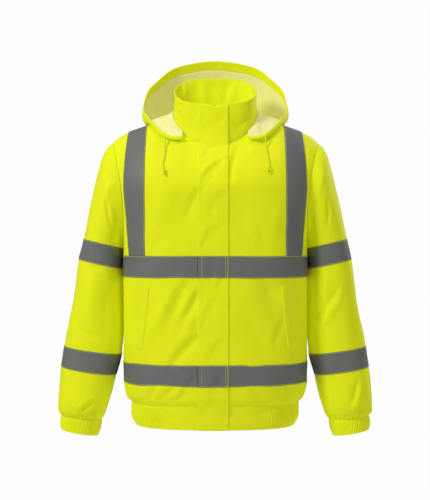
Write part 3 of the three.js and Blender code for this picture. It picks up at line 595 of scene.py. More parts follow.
    def band(self, share: Array, z: Array) -> Array:
        """Points of the waistband's elastic part, from its left front end (0) round the back (1)."""
        share, z = np.broadcast_arrays(np.asarray(share, float), np.asarray(z, float))
        middle = np.asarray(self.band_middle)
        start = self._band_start(middle)
        probe = np.linspace(-start, math.pi + start, 1201)
        walk = self._band_at(probe, np.full(probe.shape, middle))
        length = walked(walk, 0)
        even = (np.interp(share * length[-1], length, probe) + start) / (math.pi + 2 * start)
        here = self._band_start(z)
        return self._band_at(lerp(-here, math.pi + here, even), z)

    def _band_start(self, z: Array) -> Array:
        """The section angle at which the waistband's elastic part starts."""
        section = self.section(Face.FRONT, z)
        x = self._drawn_in(np.full(np.shape(z), self.band_plain + self.gap), z)
        return np.arccos((x / section.half) ** (section.power / 2))

    def _band_at(self, angle: Array, z: Array) -> Array:
        """Points of the body's sections by section angle; negative sines lie on the front."""
        c, s = np.cos(angle), np.sin(angle)
        front, back = self.section(Face.FRONT, z), self.section(Face.BACK, z)
        half = np.where(s < 0, front.half, back.half)
        depth = np.where(s < 0, front.depth, back.depth)
        power = np.where(s < 0, front.power, back.power)
        return points_of(half * powered(c, 2 / power), depth * powered(s, 2 / power), z)

    def hood(self, angles: Array, lining_rows: int, facing_rows: int) -> Array:
        """The hood's left half from the neck seam to the rim, kept clear of the shoulders.

        Args:
            angles: Angles from the front centre, one for each column.
            lining_rows: How many rows run up to the facing.
            facing_rows: How many rows the facing takes.

        Returns:
            Rows of points, from the neck seam up to the rim.
        """
        tree, places, normals = self._shoulder_samples()
        columns = []
        for angle in angles:
            base = self.neck(np.asarray(angle))
            out = unit(np.array([base[0], base[1] - self.neck_y, 0.0]))
            base = base + out * self.hood_seam_out + (0, 0, self.hood_seam_lift)
            near, far, rim = (
                np.array([self.hood_handles.at(f"{end}_{axis}", angle) for axis in "xyz"], float)
                for end in ("near", "far", "rim"))
            t = np.linspace(0, 1, 129)[:, None]
            s = 1 - t
            curve = base * s ** 3 + near * 3 * s * s * t + far * 3 * s * t * t + rim * t ** 3
            passed = walked(curve, 0)
            length = passed[-1]
            facing = self.facing / length
            shares = np.concatenate([np.linspace(0, 1 - facing, lining_rows + 1),
                                     np.linspace(1 - facing, 1, facing_rows + 1)[1:]])
            column = np.stack([np.interp(shares * length, passed, curve[:, i]) for i in range(3)], -1)
            for _ in range(2):
                for i, point in enumerate(column):
                    away = min(1.0, shares[i] * length / self.hood_lift_off)
                    clearance = lerp(self.hood_seam_lift, self.hood_clearance, away)
                    _, index, _ = tree.find(Vector(point))
                    height = float(np.dot(point - places[index], normals[index]))
                    if height < clearance:
                        column[i] = point + normals[index] * (clearance - height)
            columns.append(column)
        grid = np.stack(columns, axis=1)
        grid[..., 0] = np.maximum(grid[..., 0], self.gap)
        return grid

    def _shoulder_samples(self) -> tuple[KDTree, Array, Array]:
        """Places and normals on the body's upper left half, in a search tree."""
        places, normals = [], []
        for face in Face:
            across, up = np.linspace(0, self.edge, 90), np.linspace(self.armpit, self.top, 120)
            grid = ClothGrid(across, up, self.body(face, across, up[:, None]), -face.value)
            places.append(grid.points.reshape(-1, 3))
            normals.append(grid.normals.reshape(-1, 3))
        places, normals = np.concatenate(places), np.concatenate(normals)
        tree = KDTree(len(places))
        for i, place in enumerate(places):
            tree.insert(Vector(place), i)
        tree.balance()
        return tree, places, normals


class ClothGrid:
    """A patch of cloth's outer surface: a grid of points in millimetres, with normals.

    Columns and rows have rising keys, so that other pieces can be laid on any place of it. A
    closed grid's last column repeats its first.
    """

    def __init__(self, across: Array, up: Array, points: Array, sign: float, closed: bool = False) -> None:
        """Works out the normals; sign is 1 where across turned to up points out, else -1."""
        self.across, self.up = np.asarray(across, float), np.asarray(up, float)
        self.points, self.sign, self.closed = points, sign, closed
        along_a, along_b = np.gradient(points, axis=1), np.gradient(points, axis=0)
        if closed:
            along_a[:, 0] = along_a[:, -1] = (points[:, 1] - points[:, -2]) / 2
        self.normals = unit(np.cross(along_a, along_b)) * sign

    def moved(self, relief: Array) -> "ClothGrid":
        """The grid with its points moved out by a relief."""
        return ClothGrid(self.across, self.up, self.lifted(relief), self.sign, self.closed)

    def lifted(self, lift: Array) -> Array:
        """The points at a distance off the surface."""
        return self.points + self.normals * np.broadcast_to(lift, self.points.shape[:2])[..., None]

    def sample(self, across: Array, up: Array, lift: Array = 0.0) -> Array:
        """Points at any keys, at a distance off the surface."""
        across, up, lift = np.broadcast_arrays(across, up, lift)
        i = np.clip(np.searchsorted(self.across, across, side="right") - 1, 0, len(self.across) - 2)
        j = np.clip(np.searchsorted(self.up, up, side="right") - 1, 0, len(self.up) - 2)
        fi = np.clip((across - self.across[i]) / (self.across[i + 1] - self.across[i]), 0, 1)[..., None]
        fj = np.clip((up - self.up[j]) / (self.up[j + 1] - self.up[j]), 0, 1)[..., None]

        def mixed(values: Array) -> Array:
            """Values between the four nearest points."""
            low = lerp(values[j, i], values[j, i + 1], fi)
            return lerp(low, lerp(values[j + 1, i], values[j + 1, i + 1], fi), fj)

        return mixed(self.points) + mixed(self.normals) * lift[..., None]

    def patch(self, across: Array, up: Array, rows: Array) -> "ClothGrid":
        """A grid of its own on some columns and rows, which may wander from their keys."""
        return ClothGrid(across, up, self.sample(across, rows), self.sign, self.closed)

    def from_edges(self) -> dict[str, Array]:
        """Distance from each edge over the cloth: start and end of rows, low and top of columns."""
        rows, cols = walked(self.points, 1), walked(self.points, 0)
        return {"start": rows, "end": rows[:, -1:] - rows, "low": cols, "top": cols[-1:] - cols}

    def flat_size(self) -> tuple[float, float, float]:
        """Width, length and area of the cloth, in metres."""
        rows, cols = walked(self.points, 1)[:, -1], walked(self.points, 0)[-1]
        a, b = np.diff(self.points[:-1], axis=1), np.diff(self.points[:, :-1], axis=0)
        area = np.linalg.norm(np.cross(a, b), axis=-1).sum() * MM * MM
        return rows.max() * MM, cols.max() * MM, area


def walked(points: Array, axis: int) -> Array:
    """Distance walked along one axis of a grid of points, from its start."""
    gaps = np.linalg.norm(np.diff(points, axis=axis), axis=-1)
    start = np.zeros_like(np.take(gaps, [0], axis=axis))
    return np.cumsum(np.concatenate([start, gaps], axis=axis), axis=axis)


class MeshParts(NamedTuple):
    """Vertices, four-sided faces and the faces' corner coordinates for a pattern."""

    vertices: Array
    faces: Array
    uv: Array


def cloth_wall(outer: Array, inner: Array, closed: bool = False, rim: float = 0.12) -> MeshParts:
    """A closed wall of cloth between two grids of points, with rounded edges.

    Args:
        outer: Rows of points on the outside, in millimetres.
        inner: The same rows on the inside.
        closed: True where the last column joins the first.
        rim: How far the rounding of its edges stands out.

    Returns:
        The wall's parts, in metres.
    """
    rows, cols = outer.shape[:2]
    index = np.arange(rows * cols).reshape(rows, cols)
    padded = outer
    if closed:
        index = np.hstack([index, index[:, :1]])
        padded = np.concatenate([outer, outer[:, :1]], axis=1)
    uv = np.stack([walked(padded, 1), walked(padded, 0)], -1) * MM

    def cells(grid: Array) -> Array:
        """The four corners of each cell of a grid."""
        return np.stack([grid[:-1, :-1], grid[:-1, 1:], grid[1:, 1:], grid[1:, :-1]], 2).reshape(
            (-1, 4) + grid.shape[2:])

    faces = [cells(index), cells(index)[:, ::-1] + rows * cols]
    corners = [cells(uv), cells(uv)[:, ::-1]]
    last_r, last_c = rows - 1, index.shape[1] - 1
    if closed:
        rims = [[(0, c) for c in range(last_c + 1)], [(last_r, c) for c in range(last_c, -1, -1)]]
    else:
        edge = [(0, c) for c in range(last_c)] + [(r, last_c) for r in range(last_r)]
        edge += [(last_r, c) for c in range(last_c, 0, -1)] + [(r, 0) for r in range(last_r, 0, -1)]
        rims = [edge + edge[:1]]
    vertices = [outer.reshape(-1, 3), inner.reshape(-1, 3)]
    count = 2 * rows * cols
    for edge in rims:
        r, c = np.array(edge).T
        flat = index[r, c][:-1]
        back_r = np.clip(r[:-1], 1, last_r - 1)
        back_c = c[:-1] if closed else np.clip(c[:-1], 1, last_c - 1)
        behind = outer.reshape(-1, 3)[index[back_r, back_c]]
        top, low = vertices[0][flat], vertices[1][flat]
        vertices.append((top + low) / 2 + unit(top - behind) * rim)
        ids = index[r, c]
        middle = np.append(np.arange(len(flat)), 0) + count
        count += len(flat)
        place = uv[r, c]
        for near, far in ((ids, middle), (middle, ids + rows * cols)):
            faces.append(np.stack([near[1:], near[:-1], far[:-1], far[1:]], -1))
            corners.append(np.stack([place[1:], place[:-1], place[:-1], place[1:]], 1))
    points = np.concatenate(vertices) * MM
    quads, coords = np.concatenate(faces), np.concatenate(corners)
    a, b, c, d = (points[quads[:, i]] for i in range(4))
    volume = np.sum(a * np.cross(b, c)) + np.sum(a * np.cross(c, d))
    if volume < 0:
        quads, coords = quads[:, ::-1], coords[:, ::-1]
    return MeshParts(points, quads, coords)


def linked(obj: bpy.types.Object) -> bpy.types.Object:
    """Puts an object in the scene."""
    bpy.context.scene.collection.objects.link(obj)
    return obj


def mesh_object(name: str, parts: MeshParts) -> bpy.types.Object:
    """A smooth mesh object from vertices, faces and corner coordinates."""
    mesh = bpy.data.meshes.new(name)
    mesh.vertices.add(len(parts.vertices))
    mesh.vertices.foreach_set("co", parts.vertices.astype(np.float32).ravel())
    mesh.loops.add(parts.faces.size)
    mesh.loops.foreach_set("vertex_index", parts.faces.astype(np.int32).ravel())
    mesh.polygons.add(len(parts.faces))
    mesh.polygons.foreach_set("loop_start", np.arange(0, parts.faces.size, 4, dtype=np.int32))
    mesh.polygons.foreach_set("use_smooth", np.ones(len(parts.faces), bool))
    layer = mesh.uv_layers.new(name=UV_NAME)
    layer.data.foreach_set("uv", parts.uv.astype(np.float32).ravel())
    mesh.update(calc_edges=True)
    mesh.validate()
    return linked(bpy.data.objects.new(name, mesh))


def tube_parts(path: Array, radius: Array, sides: int) -> MeshParts:
    """A round tube along a path with capped ends, in millimetres in and metres out.

    Args:
        path: The points that it follows.
        radius: Its radius at each point.
        sides: How many sides it has.

    Returns:
        The tube's parts.
    """
    tangent = unit(np.gradient(path, axis=0))
    side = unit(np.cross(tangent[0], (0.3, 0.9, 0.2)))
    rows = []
    for point, along, reach in zip(path, tangent, np.broadcast_to(radius, len(path))):
        side = unit(side - along * np.dot(side, along))
        up = np.cross(along, side)
        angle = np.linspace(0, 2 * math.pi, sides, endpoint=False)[:, None]
        rows.append(point + reach * (np.cos(angle) * side + np.sin(angle) * up))
    outer = np.array(rows)
    inner = lerp(outer, path[:, None, :], 0.6)
    return cloth_wall(outer, inner, closed=True)


Socket = bpy.types.NodeSocket
Shade = tuple[float, float, float]


class NodeGraph:
    """Builds the nodes of one tree in few words."""

    def __init__(self, tree: bpy.types.NodeTree) -> None:
        """Takes the tree to build in."""
        self.tree = tree

    def node(self, kind: str, inputs: Optional[dict] = None, **settings: object) -> bpy.types.Node:
        """Adds a node, with sockets linked or set by name or number.

        Args:
            kind: The node's type.
            inputs: Sockets to link from, or values to set.
            **settings: The node's own properties.

        Returns:
            The node.
        """
        made = self.tree.nodes.new(kind)
        for key, value in settings.items():
            setattr(made, key, value)
        for key, value in (inputs or {}).items():
            if isinstance(value, Socket):
                self.tree.links.new(value, made.inputs[key])
            else:
                made.inputs[key].default_value = value
        return made

    def math(self, operation: str, first: object, second: object = 0.0) -> Socket:
        """Adds a math node and gives its result."""
        return self.node("ShaderNodeMath", {0: first, 1: second}, operation=operation).outputs[0]


class ShaderGraph(NodeGraph):
    """Builds the nodes of one material."""

    def __init__(self, name: str) -> None:
        """Starts an empty material with an output."""
        self.material = bpy.data.materials.new(name)
        self.material.use_nodes = True
        super().__init__(self.material.node_tree)
        self.tree.nodes.clear()
        self.output = self.node("ShaderNodeOutputMaterial")

    def weighted(self, *terms: tuple[Socket, float]) -> Socket:
        """The sum of some values, each times its weight."""
        parts = [self.math("MULTIPLY", value, weight) for value, weight in terms]
        total = parts[0]
        for part in parts[1:]:
            total = self.math("ADD", total, part)
        return total

    def cloth_uv(self) -> tuple[Socket, Socket]:
        """Metres across and along the cloth."""
        uv = self.node("ShaderNodeUVMap", uv_map=UV_NAME).outputs["UV"]
        split = self.node("ShaderNodeSeparateXYZ", {"Vector": uv})
        return split.outputs["X"], split.outputs["Y"]

    def noise(self, scale: float, detail: float = 2.0, roughness: float = 0.5) -> Socket:
        """Noise on object coordinates."""
        place = self.node("ShaderNodeTexCoord").outputs["Object"]
        inputs = {"Vector": place, "Scale": scale, "Detail": detail, "Roughness": roughness}
        return self.node("ShaderNodeTexNoise", inputs).outputs[0]

    def ripple(self, value: Socket, pitch: float) -> Socket:
        """A sine with the given pitch in metres."""
        return self.math("SINE", self.math("MULTIPLY", value, 2 * math.pi / pitch))

    def mix(self, share: Socket, first: Shade, second: Shade) -> Socket:
        """Mixes two colours."""
        made = self.node("ShaderNodeMix", {0: share}, data_type="RGBA")
        made.inputs[6].default_value = (*first, 1.0)
        made.inputs[7].default_value = (*second, 1.0)
        return made.outputs[2]

    def finish(self, inputs: dict, height: Socket, depth: float) -> bpy.types.Material:
        """Ends the graph in a surface with a bump in millimetres."""
        relief = self.node("ShaderNodeBump", {"Height": height, "Distance": depth * MM, "Strength": 1.0})
        shader = self.node("ShaderNodeBsdfPrincipled", {**inputs, "Normal": relief.outputs[0]})
        self.tree.links.new(shader.outputs[0], self.output.inputs[0])
        return self.material


@dataclass(frozen=True)
class WovenFinish:
    """A woven cloth: its two shades, weave, sheen and a painted glow, an emission that stands in for the
    dye's fluorescence and lightens even its shaded parts.
    """

    name: str
    colour: Shade
    shade: Shade
    roughness: float = 0.66
    sheen: float = 0.08
    sheen_roughness: float = 0.4
    sheen_tint: Shade = (1.0, 1.0, 0.4)
    specular: float = 0.14
    weave_pitch: float = 0.0011
    weave_depth: float = 0.05
    crinkle_depth: float = 0.35
    # painted glow: emission in the cloth's own colour, painted light that lifts its shade evenly
    glow: float = 0.0

    def material(self) -> bpy.types.Material:
        """The cloth's material."""
        graph = ShaderGraph(self.name)
        weave = graph.math("MULTIPLY", *(graph.ripple(way, self.weave_pitch) for way in graph.cloth_uv()))
        crinkle = graph.noise(95.0, 4.0, 0.55)
        patches = graph.noise(7.0, 3.0, 0.6)
        tone = graph.weighted((patches, 0.75), (weave, 0.1))
        height = graph.weighted((weave, self.weave_depth), (crinkle, self.crinkle_depth))
        gloss = graph.math("ADD", graph.math("MULTIPLY", crinkle, 0.12), self.roughness - 0.06)
        # The emission set here is painted glow, not light from a lamp.
        return graph.finish({
            "Base Color": graph.mix(tone, self.colour, self.shade), "Roughness": gloss,
            "Sheen Weight": self.sheen, "Sheen Roughness": self.sheen_roughness,
            "Sheen Tint": (*self.sheen_tint, 1.0), "Specular IOR Level": self.specular,
            "Emission Color": (*self.colour, 1.0), "Emission Strength": self.glow}, height, 1.0)


@dataclass(frozen=True)
class ReflectiveFinish:
    """Grey tape coated with fine glass beads."""

    name: str
    colour: Shade = (0.135, 0.145, 0.135)
    light: Shade = (0.19, 0.2, 0.185)
    roughness: float = 0.58
    specular: float = 0.3
    metallic: float = 0.1
    rib_pitch: float = 0.0016

    def material(self) -> bpy.types.Material:
        """The tape's material."""
        graph = ShaderGraph(self.name)
        beads = graph.noise(1400.0, 1.0)
        mottle = graph.noise(22.0, 4.0, 0.6)
        rib = graph.ripple(graph.cloth_uv()[1], self.rib_pitch)
        tone = graph.weighted((beads, 0.5), (mottle, 0.45))
        height = graph.weighted((rib, 0.012), (mottle, 0.25), (beads, 0.06))
        return graph.finish({
            "Base Color": graph.mix(tone, self.colour, self.light), "Roughness": self.roughness,
            "Specular IOR Level": self.specular, "Metallic": self.metallic}, height, 1.0)


@dataclass(frozen=True)
class ThreadFinish:
    """Spun thread or braided cord, with strands that wind round it and a painted glow that lightens it."""

    name: str
    colour: Shade
    shade: Shade
    strand_pitch: float = 0.0022
    depth: float = 0.1
    roughness: float = 0.7
    # painted glow: emission in the thread's own colour, painted light that lifts its shade
    glow: float = 0.12

    def material(self) -> bpy.types.Material:
        """The thread's material."""
        graph = ShaderGraph(self.name)
        across, along = graph.cloth_uv()
        braid = graph.math("MULTIPLY", *(graph.ripple(graph.math(way, across, along), self.strand_pitch)
                                         for way in ("ADD", "SUBTRACT")))
        tone = graph.weighted((braid, 0.3), (graph.noise(260.0, 2.0), 1.0))
        # The emission set here is painted glow, not light from a lamp.
        return graph.finish({
            "Base Color": graph.mix(tone, self.colour, self.shade), "Roughness": self.roughness,
            "Emission Color": (*self.colour, 1.0), "Emission Strength": self.glow}, braid, self.depth)


@dataclass(frozen=True)
class GrainedFinish:
    """A plain surface with a fine grain, as of moulded zip teeth or a matt studio floor."""

    name: str
    colour: Shade
    shade: Shade
    roughness: float
    grain_scale: float
    grain_detail: float
    depth: float

    def material(self) -> bpy.types.Material:
        """The surface's material."""
        graph = ShaderGraph(self.name)
        grain = graph.noise(self.grain_scale, self.grain_detail)
        return graph.finish({"Base Color": graph.mix(grain, self.colour, self.shade),
                             "Roughness": self.roughness}, grain, self.depth)


class Slot(Enum):
    """Material slot names, kept with each material."""

    SHELL = "shell_yellow"
    TAPE = "reflective_tape"
    LINING = "lining_cream"
    ZIP = "zip"
    CORD = "drawcord"


class Fabric(NamedTuple):
    """A material and the slot name kept with it."""

    material: bpy.types.Material
    slot: Slot


class Wardrobe:
    """The materials of all pieces, each made once."""

    def __init__(self) -> None:
        """Makes the materials."""
        yellow, deep = (0.82, 0.87, 0.008), (0.76, 0.82, 0.004)
        # The glow values here are painted glow: emission that lightens the shell, lining and cord, shade
        # included.
        shell = WovenFinish("fluorescent_shell", yellow, deep, glow=0.09)
        double = WovenFinish("doubled_shell", yellow, deep, crinkle_depth=0.2, glow=0.09)
        # The lining's colour is partly its own cream and partly a painted yellow cast for light bounced from
        # the shell.
        lining = WovenFinish("cream_lining", (0.83, 0.81, 0.36), (0.77, 0.75, 0.26), roughness=0.5,
                             sheen=0.1, glow=0.13, weave_pitch=0.0014, crinkle_depth=0.25)
        thread = ThreadFinish("sewing_thread", (0.85, 0.9, 0.09), (0.74, 0.8, 0.04))
        cord = ThreadFinish("braided_cord", (0.8, 0.84, 0.02), (0.68, 0.72, 0.01), glow=0.05)
        zip_tape = WovenFinish("zip_tape", (0.72, 0.78, 0.02), (0.62, 0.68, 0.01),
                               weave_pitch=0.0008, crinkle_depth=0.05)
        teeth = GrainedFinish("zip_teeth", (0.6, 0.66, 0.03), (0.52, 0.58, 0.02), 0.38, 900.0, 2.0, 0.04)
        self.shell = Fabric(shell.material(), Slot.SHELL)
        self.double = Fabric(double.material(), Slot.SHELL)
        self.lining = Fabric(lining.material(), Slot.LINING)
        self.tape = Fabric(ReflectiveFinish("glass_bead_tape").material(), Slot.TAPE)
        self.thread = Fabric(thread.material(), Slot.SHELL)
        self.cord = Fabric(cord.material(), Slot.CORD)
        self.zip_tape = Fabric(zip_tape.material(), Slot.ZIP)
        self.teeth = Fabric(teeth.material(), Slot.ZIP)


class StitchTree(NodeGraph):
    """A Geometry Nodes tree that sets small rounded grains along lines: stitches or zip teeth."""

    INPUTS = {"Pitch": 0.004, "Length": 0.003, "Width": 0.0007, "Height": 0.0007, "Unevenness": 0.08}
    SEED = 7

    def __init__(self, name: str, material: bpy.types.Material) -> None:
        """Builds the tree for one material."""
        super().__init__(bpy.data.node_groups.new(name, "GeometryNodeTree"))
        self.material = material
        face = self.tree.interface
        for way in ("INPUT", "OUTPUT"):
            face.new_socket("Geometry", in_out=way, socket_type="NodeSocketGeometry")
        for label, value in self.INPUTS.items():
            face.new_socket(label, in_out="INPUT", socket_type="NodeSocketFloat").default_value = value
        sizes, end = self.node("NodeGroupInput").outputs, self.node("NodeGroupOutput")
        line = self.node("GeometryNodeMeshToCurve", {0: sizes[0]})
        spaced = self.node("GeometryNodeResampleCurve",
                           {"Curve": line.outputs[0], "Length": sizes["Pitch"]}, mode="LENGTH")
        grain = self.node("GeometryNodeMeshUVSphere", {"Segments": 5, "Rings": 3, "Radius": 0.5})
        tangent = self.node("GeometryNodeInputTangent")
        turn = self.node("FunctionNodeAlignRotationToVector", {"Vector": tangent.outputs[0]}, axis="X")
        uneven = self.node("FunctionNodeRandomValue", {"Seed": self.SEED})
        spread = self.math("MULTIPLY", uneven.outputs[1], sizes["Unevenness"])
        long = self.math("MULTIPLY", sizes["Length"], self.math("SUBTRACT", 1.0, spread))
        size = self.node("ShaderNodeCombineXYZ", {0: long, 1: sizes["Width"], 2: sizes["Height"]})
        placed = self.node("GeometryNodeInstanceOnPoints", {
            "Points": spaced.outputs[0], "Instance": grain.outputs[0], "Rotation": turn.outputs[0],
            "Scale": size.outputs[0]})
        real = self.node("GeometryNodeRealizeInstances", {0: placed.outputs[0]})
        smooth = self.node("GeometryNodeSetShadeSmooth", {0: real.outputs[0]})
        dressed = self.node("GeometryNodeSetMaterial", {0: smooth.outputs[0], "Material": material})
        self.tree.links.new(dressed.outputs[0], end.inputs[0])

    def along(self, name: str, lines: Sequence[Array], **sizes: float) -> bpy.types.Object:
        """Sets grains along lines and gives them as one plain mesh.

        Args:
            name: The new object's name.
            lines: Lines of points in millimetres.
            **sizes: Values for the tree's inputs, in metres, by their names in small letters.

        Returns:
            The mesh object.
        """
        edges, start = [], 0
        for line in lines:
            edges += [(start + i, start + i + 1) for i in range(len(line) - 1)]
            start += len(line)
        mesh = bpy.data.meshes.new(name + "_lines")
        mesh.from_pydata((np.concatenate(lines) * MM).tolist(), edges, [])
        guide = linked(bpy.data.objects.new(name + "_lines", mesh))
        modifier = guide.modifiers.new("stitches", "NODES")
        modifier.node_group = self.tree
        for item in self.tree.interface.items_tree:
            if item.in_out == "INPUT" and item.name.lower() in sizes:
                modifier[item.identifier] = sizes[item.name.lower()]
        evaluated = guide.evaluated_get(bpy.context.evaluated_depsgraph_get())
        result = bpy.data.meshes.new_from_object(evaluated)
        bpy.data.objects.remove(guide)
        result.name = name
        result.materials.clear()
        result.materials.append(self.material)
        if result.uv_layers:
            result.uv_layers[0].name = UV_NAME
        else:
            result.uv_layers.new(name=UV_NAME)
        return linked(bpy.data.objects.new(name, result))


class Sewing:
    """Collects the seam lines of each group of pieces, to be sewn at the end."""

    def __init__(self) -> None:
        """Starts with no lines."""
        self.lines: dict[str, list[Array]] = {}

    def add(self, group: str, *lines: Array) -> None:
        """Adds lines of points in millimetres to a group."""
        self.lines.setdefault(group, []).extend(lines)


@dataclass
class SubAssembly:
    """Pieces that are made and dressed together, with the sizes that all of them share."""

    form: JacketForm
    wardrobe: Wardrobe
    sewing: Sewing
    wall: float = 1.6
    tape_wall: float = 0.8
    seam_lift: float = 0.3
    stitch_lift: float = 0.2
    stitch_inset: float = 1.7
    tape_rows: int = 11
    edge_row: float = 0.8
    tape_rim: float = 0.25
    folded_rim: float = 0.5

    def dress(self, obj: bpy.types.Object, fabric: Fabric, *nodes: str) -> None:
        """Gives a piece its material and its place in the frame.

        Args:
            obj: The finished piece.
            fabric: Its material and slot.
            *nodes: The CAD nodes that it stands for.
        """
        obj.data.materials.clear()
        obj.data.materials.append(fabric.material)
        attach(obj, BODY)
        if nodes:
            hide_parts(*nodes)
        LOG.info("%s: %d faces", obj.name, len(obj.data.polygons))

    def cloth(self, node: str, grid: ClothGrid, wall: float, fabric: Fabric, held: str = "hung",
              rests_on: Sequence[str] = (), rim: float = 0.12) -> None:
        """Makes a wall of cloth from its outer surface and states its flat cut.

        Args:
            node: The CAD node that it stands for, which names the piece.
            grid: Its outer surface.
            wall: Its thickness in millimetres.
            fabric: Its material and slot.
            rests_on: The nodes whose pieces it hangs from or lies on; not used.
            rim: How far the rounding of its edges stands out.
        """
        outer, inner = grid.points, grid.lifted(-wall)
        if grid.closed:
            outer, inner = outer[:, :-1], inner[:, :-1]
        obj = mesh_object(f"{node}_cloth", cloth_wall(outer, inner, grid.closed, rim))
        self.dress(obj, fabric, node)
        width, length, area = grid.flat_size()
        area = min(area, width * length)
        LOG.info("%s: cut %.0f by %.0f mm, %.4f square metres", obj.name, width / MM, length / MM, area)

    def tape(self, node: str, surface: ClothGrid, keys: Array, low: float, high: float, group: str,
             wander: Optional[BodyTape] = None, rests_on: Sequence[str] = (), over: float = 0.0) -> None:
        """Makes a reflective tape on a surface, with a row of stitches inside both edges.

        Args:
            node: The CAD node that it stands for.
            surface: The cloth under it.
            keys: Its columns.
            low: Where its lower edge lies.
            high: Where its upper edge lies.
            group: The group that its stitches belong to.
            wander: The tape round the body whose wandering edges it follows.
            rests_on: The nodes whose pieces it lies on; not used.
            over: How far its first column reaches past the cloth.
        """
        up = steps(low, high, self.tape_rows, self.edge_row)
        rows = wander.rows(keys, up) if wander else up[:, None]
        top = surface.patch(keys, up, rows).moved(self.tape_wall + self.seam_lift)
        top.points[:, 0, 0] -= over
        self.cloth(node, top, self.tape_wall, self.wardrobe.tape, "laid", rests_on, self.tape_rim)
        for seam in (rows[0] + self.stitch_inset, rows[-1] - self.stitch_inset):
            self.sewing.add(group, surface.sample(keys, seam, self.tape_wall + 0.5))


@dataclass
class BodyPanels(SubAssembly):
    """Both fronts and the back, with the tapes, braces and welts that are sewn to them."""

    FRONT = creases(
        (-83, -447, 64, 165, 13, -3.6, 4, 0.45), (-56, -454, 62, 100, 9, -4.6, -3, 0.5),
        (-66, -558, 47, 130, 11, -4.6, 4, 0.45), (-62, -505, 63, 70, 9, 2.2),
        (-125, -490, 67, 180, 15, 3.0, 5), (-112, -664, 43, 85, 9, -3.6, 2, 0.4),
        (-88, -674, 28, 115, 9, -3.0, 2, 0.3), (-150, -560, 78, 120, 14, -2.2),
        (42, -135, 77, 115, 8, -3.0, 4, 0.5), (108, -303, 105, 80, 13, -2.0),
        (125, -440, 105, 170, 24, -4.2), (158, -440, 94, 90, 7, 1.8), (95, -520, 118, 190, 30, -3.2),
        (60, -250, 100, 160, 32, -2.4), (-75, -240, 62, 150, 28, -2.8), (-128, -235, 74, 120, 16, 1.8),
        (104, -668, 128, 90, 11, -2.8, 2, 0.4), (60, -655, 150, 80, 12, -1.8),
        (-140, -330, 58, 90, 14, -1.8), (140, -255, 82, 110, 14, 1.6),
        (-146, -660, 62, 66, 7, -3.0, 2, 0.5), (-166, -668, 82, 50, 6, -2.4, 0, 0.4),
        (168, -664, 74, 60, 6, -2.8, 2, 0.5), (150, -670, 96, 44, 6, -2.2, 0, 0.4),
        (-60, -640, 55, 90, 8, -2.6, 3, 0.4), (-48, -220, 66, 110, 9, -2.4, 4, 0.4),
        (128, -420, 150, 60, 8, -2.2, 2, 0.4), (150, -520, 70, 90, 9, -2.2, 3, 0.4))
    BACK = creases(
        (-70, -480, 120, 190, 30, -4.0, 5), (80, -520, 60, 190, 30, -4.0, -5),
        (20, -300, 90, 190, 42, -3.0), (-110, -560, 66, 150, 14, -3.2, 4, 0.4),
        (118, -455, 112, 140, 14, -2.8, 4, 0.4), (-40, -610, 38, 120, 13, -2.6, 3, 0.3),
        (45, -450, 74, 110, 12, 2.2), (-130, -300, 80, 150, 16, -2.6, 3, 0.3),
        (135, -270, 97, 140, 16, -2.4, 3, 0.3), (-60, -200, 64, 110, 15, -2.0),
        (70, -190, 112, 120, 16, -2.2), (0, -520, 84, 160, 22, 2.0), (100, -665, 126, 90, 11, -2.8, 2, 0.3),
        (-95, -668, 46, 90, 11, -2.8, 2, 0.3))
    FLANK = creases(
        (-40, -430, 76, 150, 16, -1.6, 3, 0.3), (35, -520, 104, 160, 18, -1.8),
        (-10, -600, 84, 90, 14, -1.6), (55, -380, 96, 110, 16, -1.4))
    COARSE, FINE = Uneven(1.25, 58, 49, 9, 40), Uneven(0.5, 21, 24, 20, 60)
    SIDE_SEAM, TOP_SEAM, LOW_SEAM = SeamPull(1.1, 3.0, 0.55, 8), SeamPull(0.35, 3.0), SeamPull(0.4, 3.5)

    step: float = 4.6
    seam_row: float = 1.2
    edge_fade: float = 24.0
    back_strength: float = 1.35
    flank_shift: float = 20.0
    sleeve_touch: float = 0.8
    calm_x: float = 119.0
    calm_width: float = 22.0
    calm_from: float = -195.0
    calm_to: float = -150.0
    calm_share: float = 0.9
    pucker_pitch: float = 8.6
    gather_pitch: float = 9.4
    gather_height: float = 1.3
    gather_up: float = 9.0
    gather_reach: float = 15.0
    tape_pitch: float = 13.0
    tape_ripple: float = 0.32
    brace_columns: int = 12
    welt_top: tuple[float, float] = (160.0, -412.0)
    welt_low: tuple[float, float] = (177.0, -556.0)
    welt_width: float = 17.0
    welt_wall: float = 1.0
    welt_swell: float = 0.2
    welt_samples: tuple[int, int] = (9, 40)
    slit: Crease = Crease(4, -484, 6.7, 160, 3.4, -1.3)

    grids: dict[str, ClothGrid] = field(default_factory=dict)

    def _keys(self, low: float, high: float) -> Array:
        """Column keys from low to high, closer together towards the side seams."""
        brace, edge = self.form.brace_out, self.form.edge
        start, stop = max(low, -brace), min(high, brace)
        inner = steps(start, stop, round((stop - start) / self.step), self.seam_row if low * high > 0 else 0)
        side = np.sort(np.append(np.linspace(brace, edge, 33)[1:], edge - self.edge_row))
        return np.concatenate([-side[::-1] if low < -brace else [], inner, side if high > brace else []])

    def _panel(self, face: Face, low: float, high: float, seed: int) -> ClothGrid:
        """A panel between two columns, with its creases."""
        form = self.form
        up = steps(form.band_top, form.top, round((form.top - form.band_top) / self.step), self.seam_row)
        beside = [edge + shift for tape in form.tapes for edge in (tape.low, tape.high)
                  for shift in (-1, 0, 1)]
        up = np.unique(np.concatenate([up, beside]))
        across = self._keys(low, high)
        grid = ClothGrid(across, up, form.body(face, across, up[:, None]), -face.value)
        return grid.moved(self._relief(face, grid, SoftNoise(seed), SoftNoise(seed + 1)))

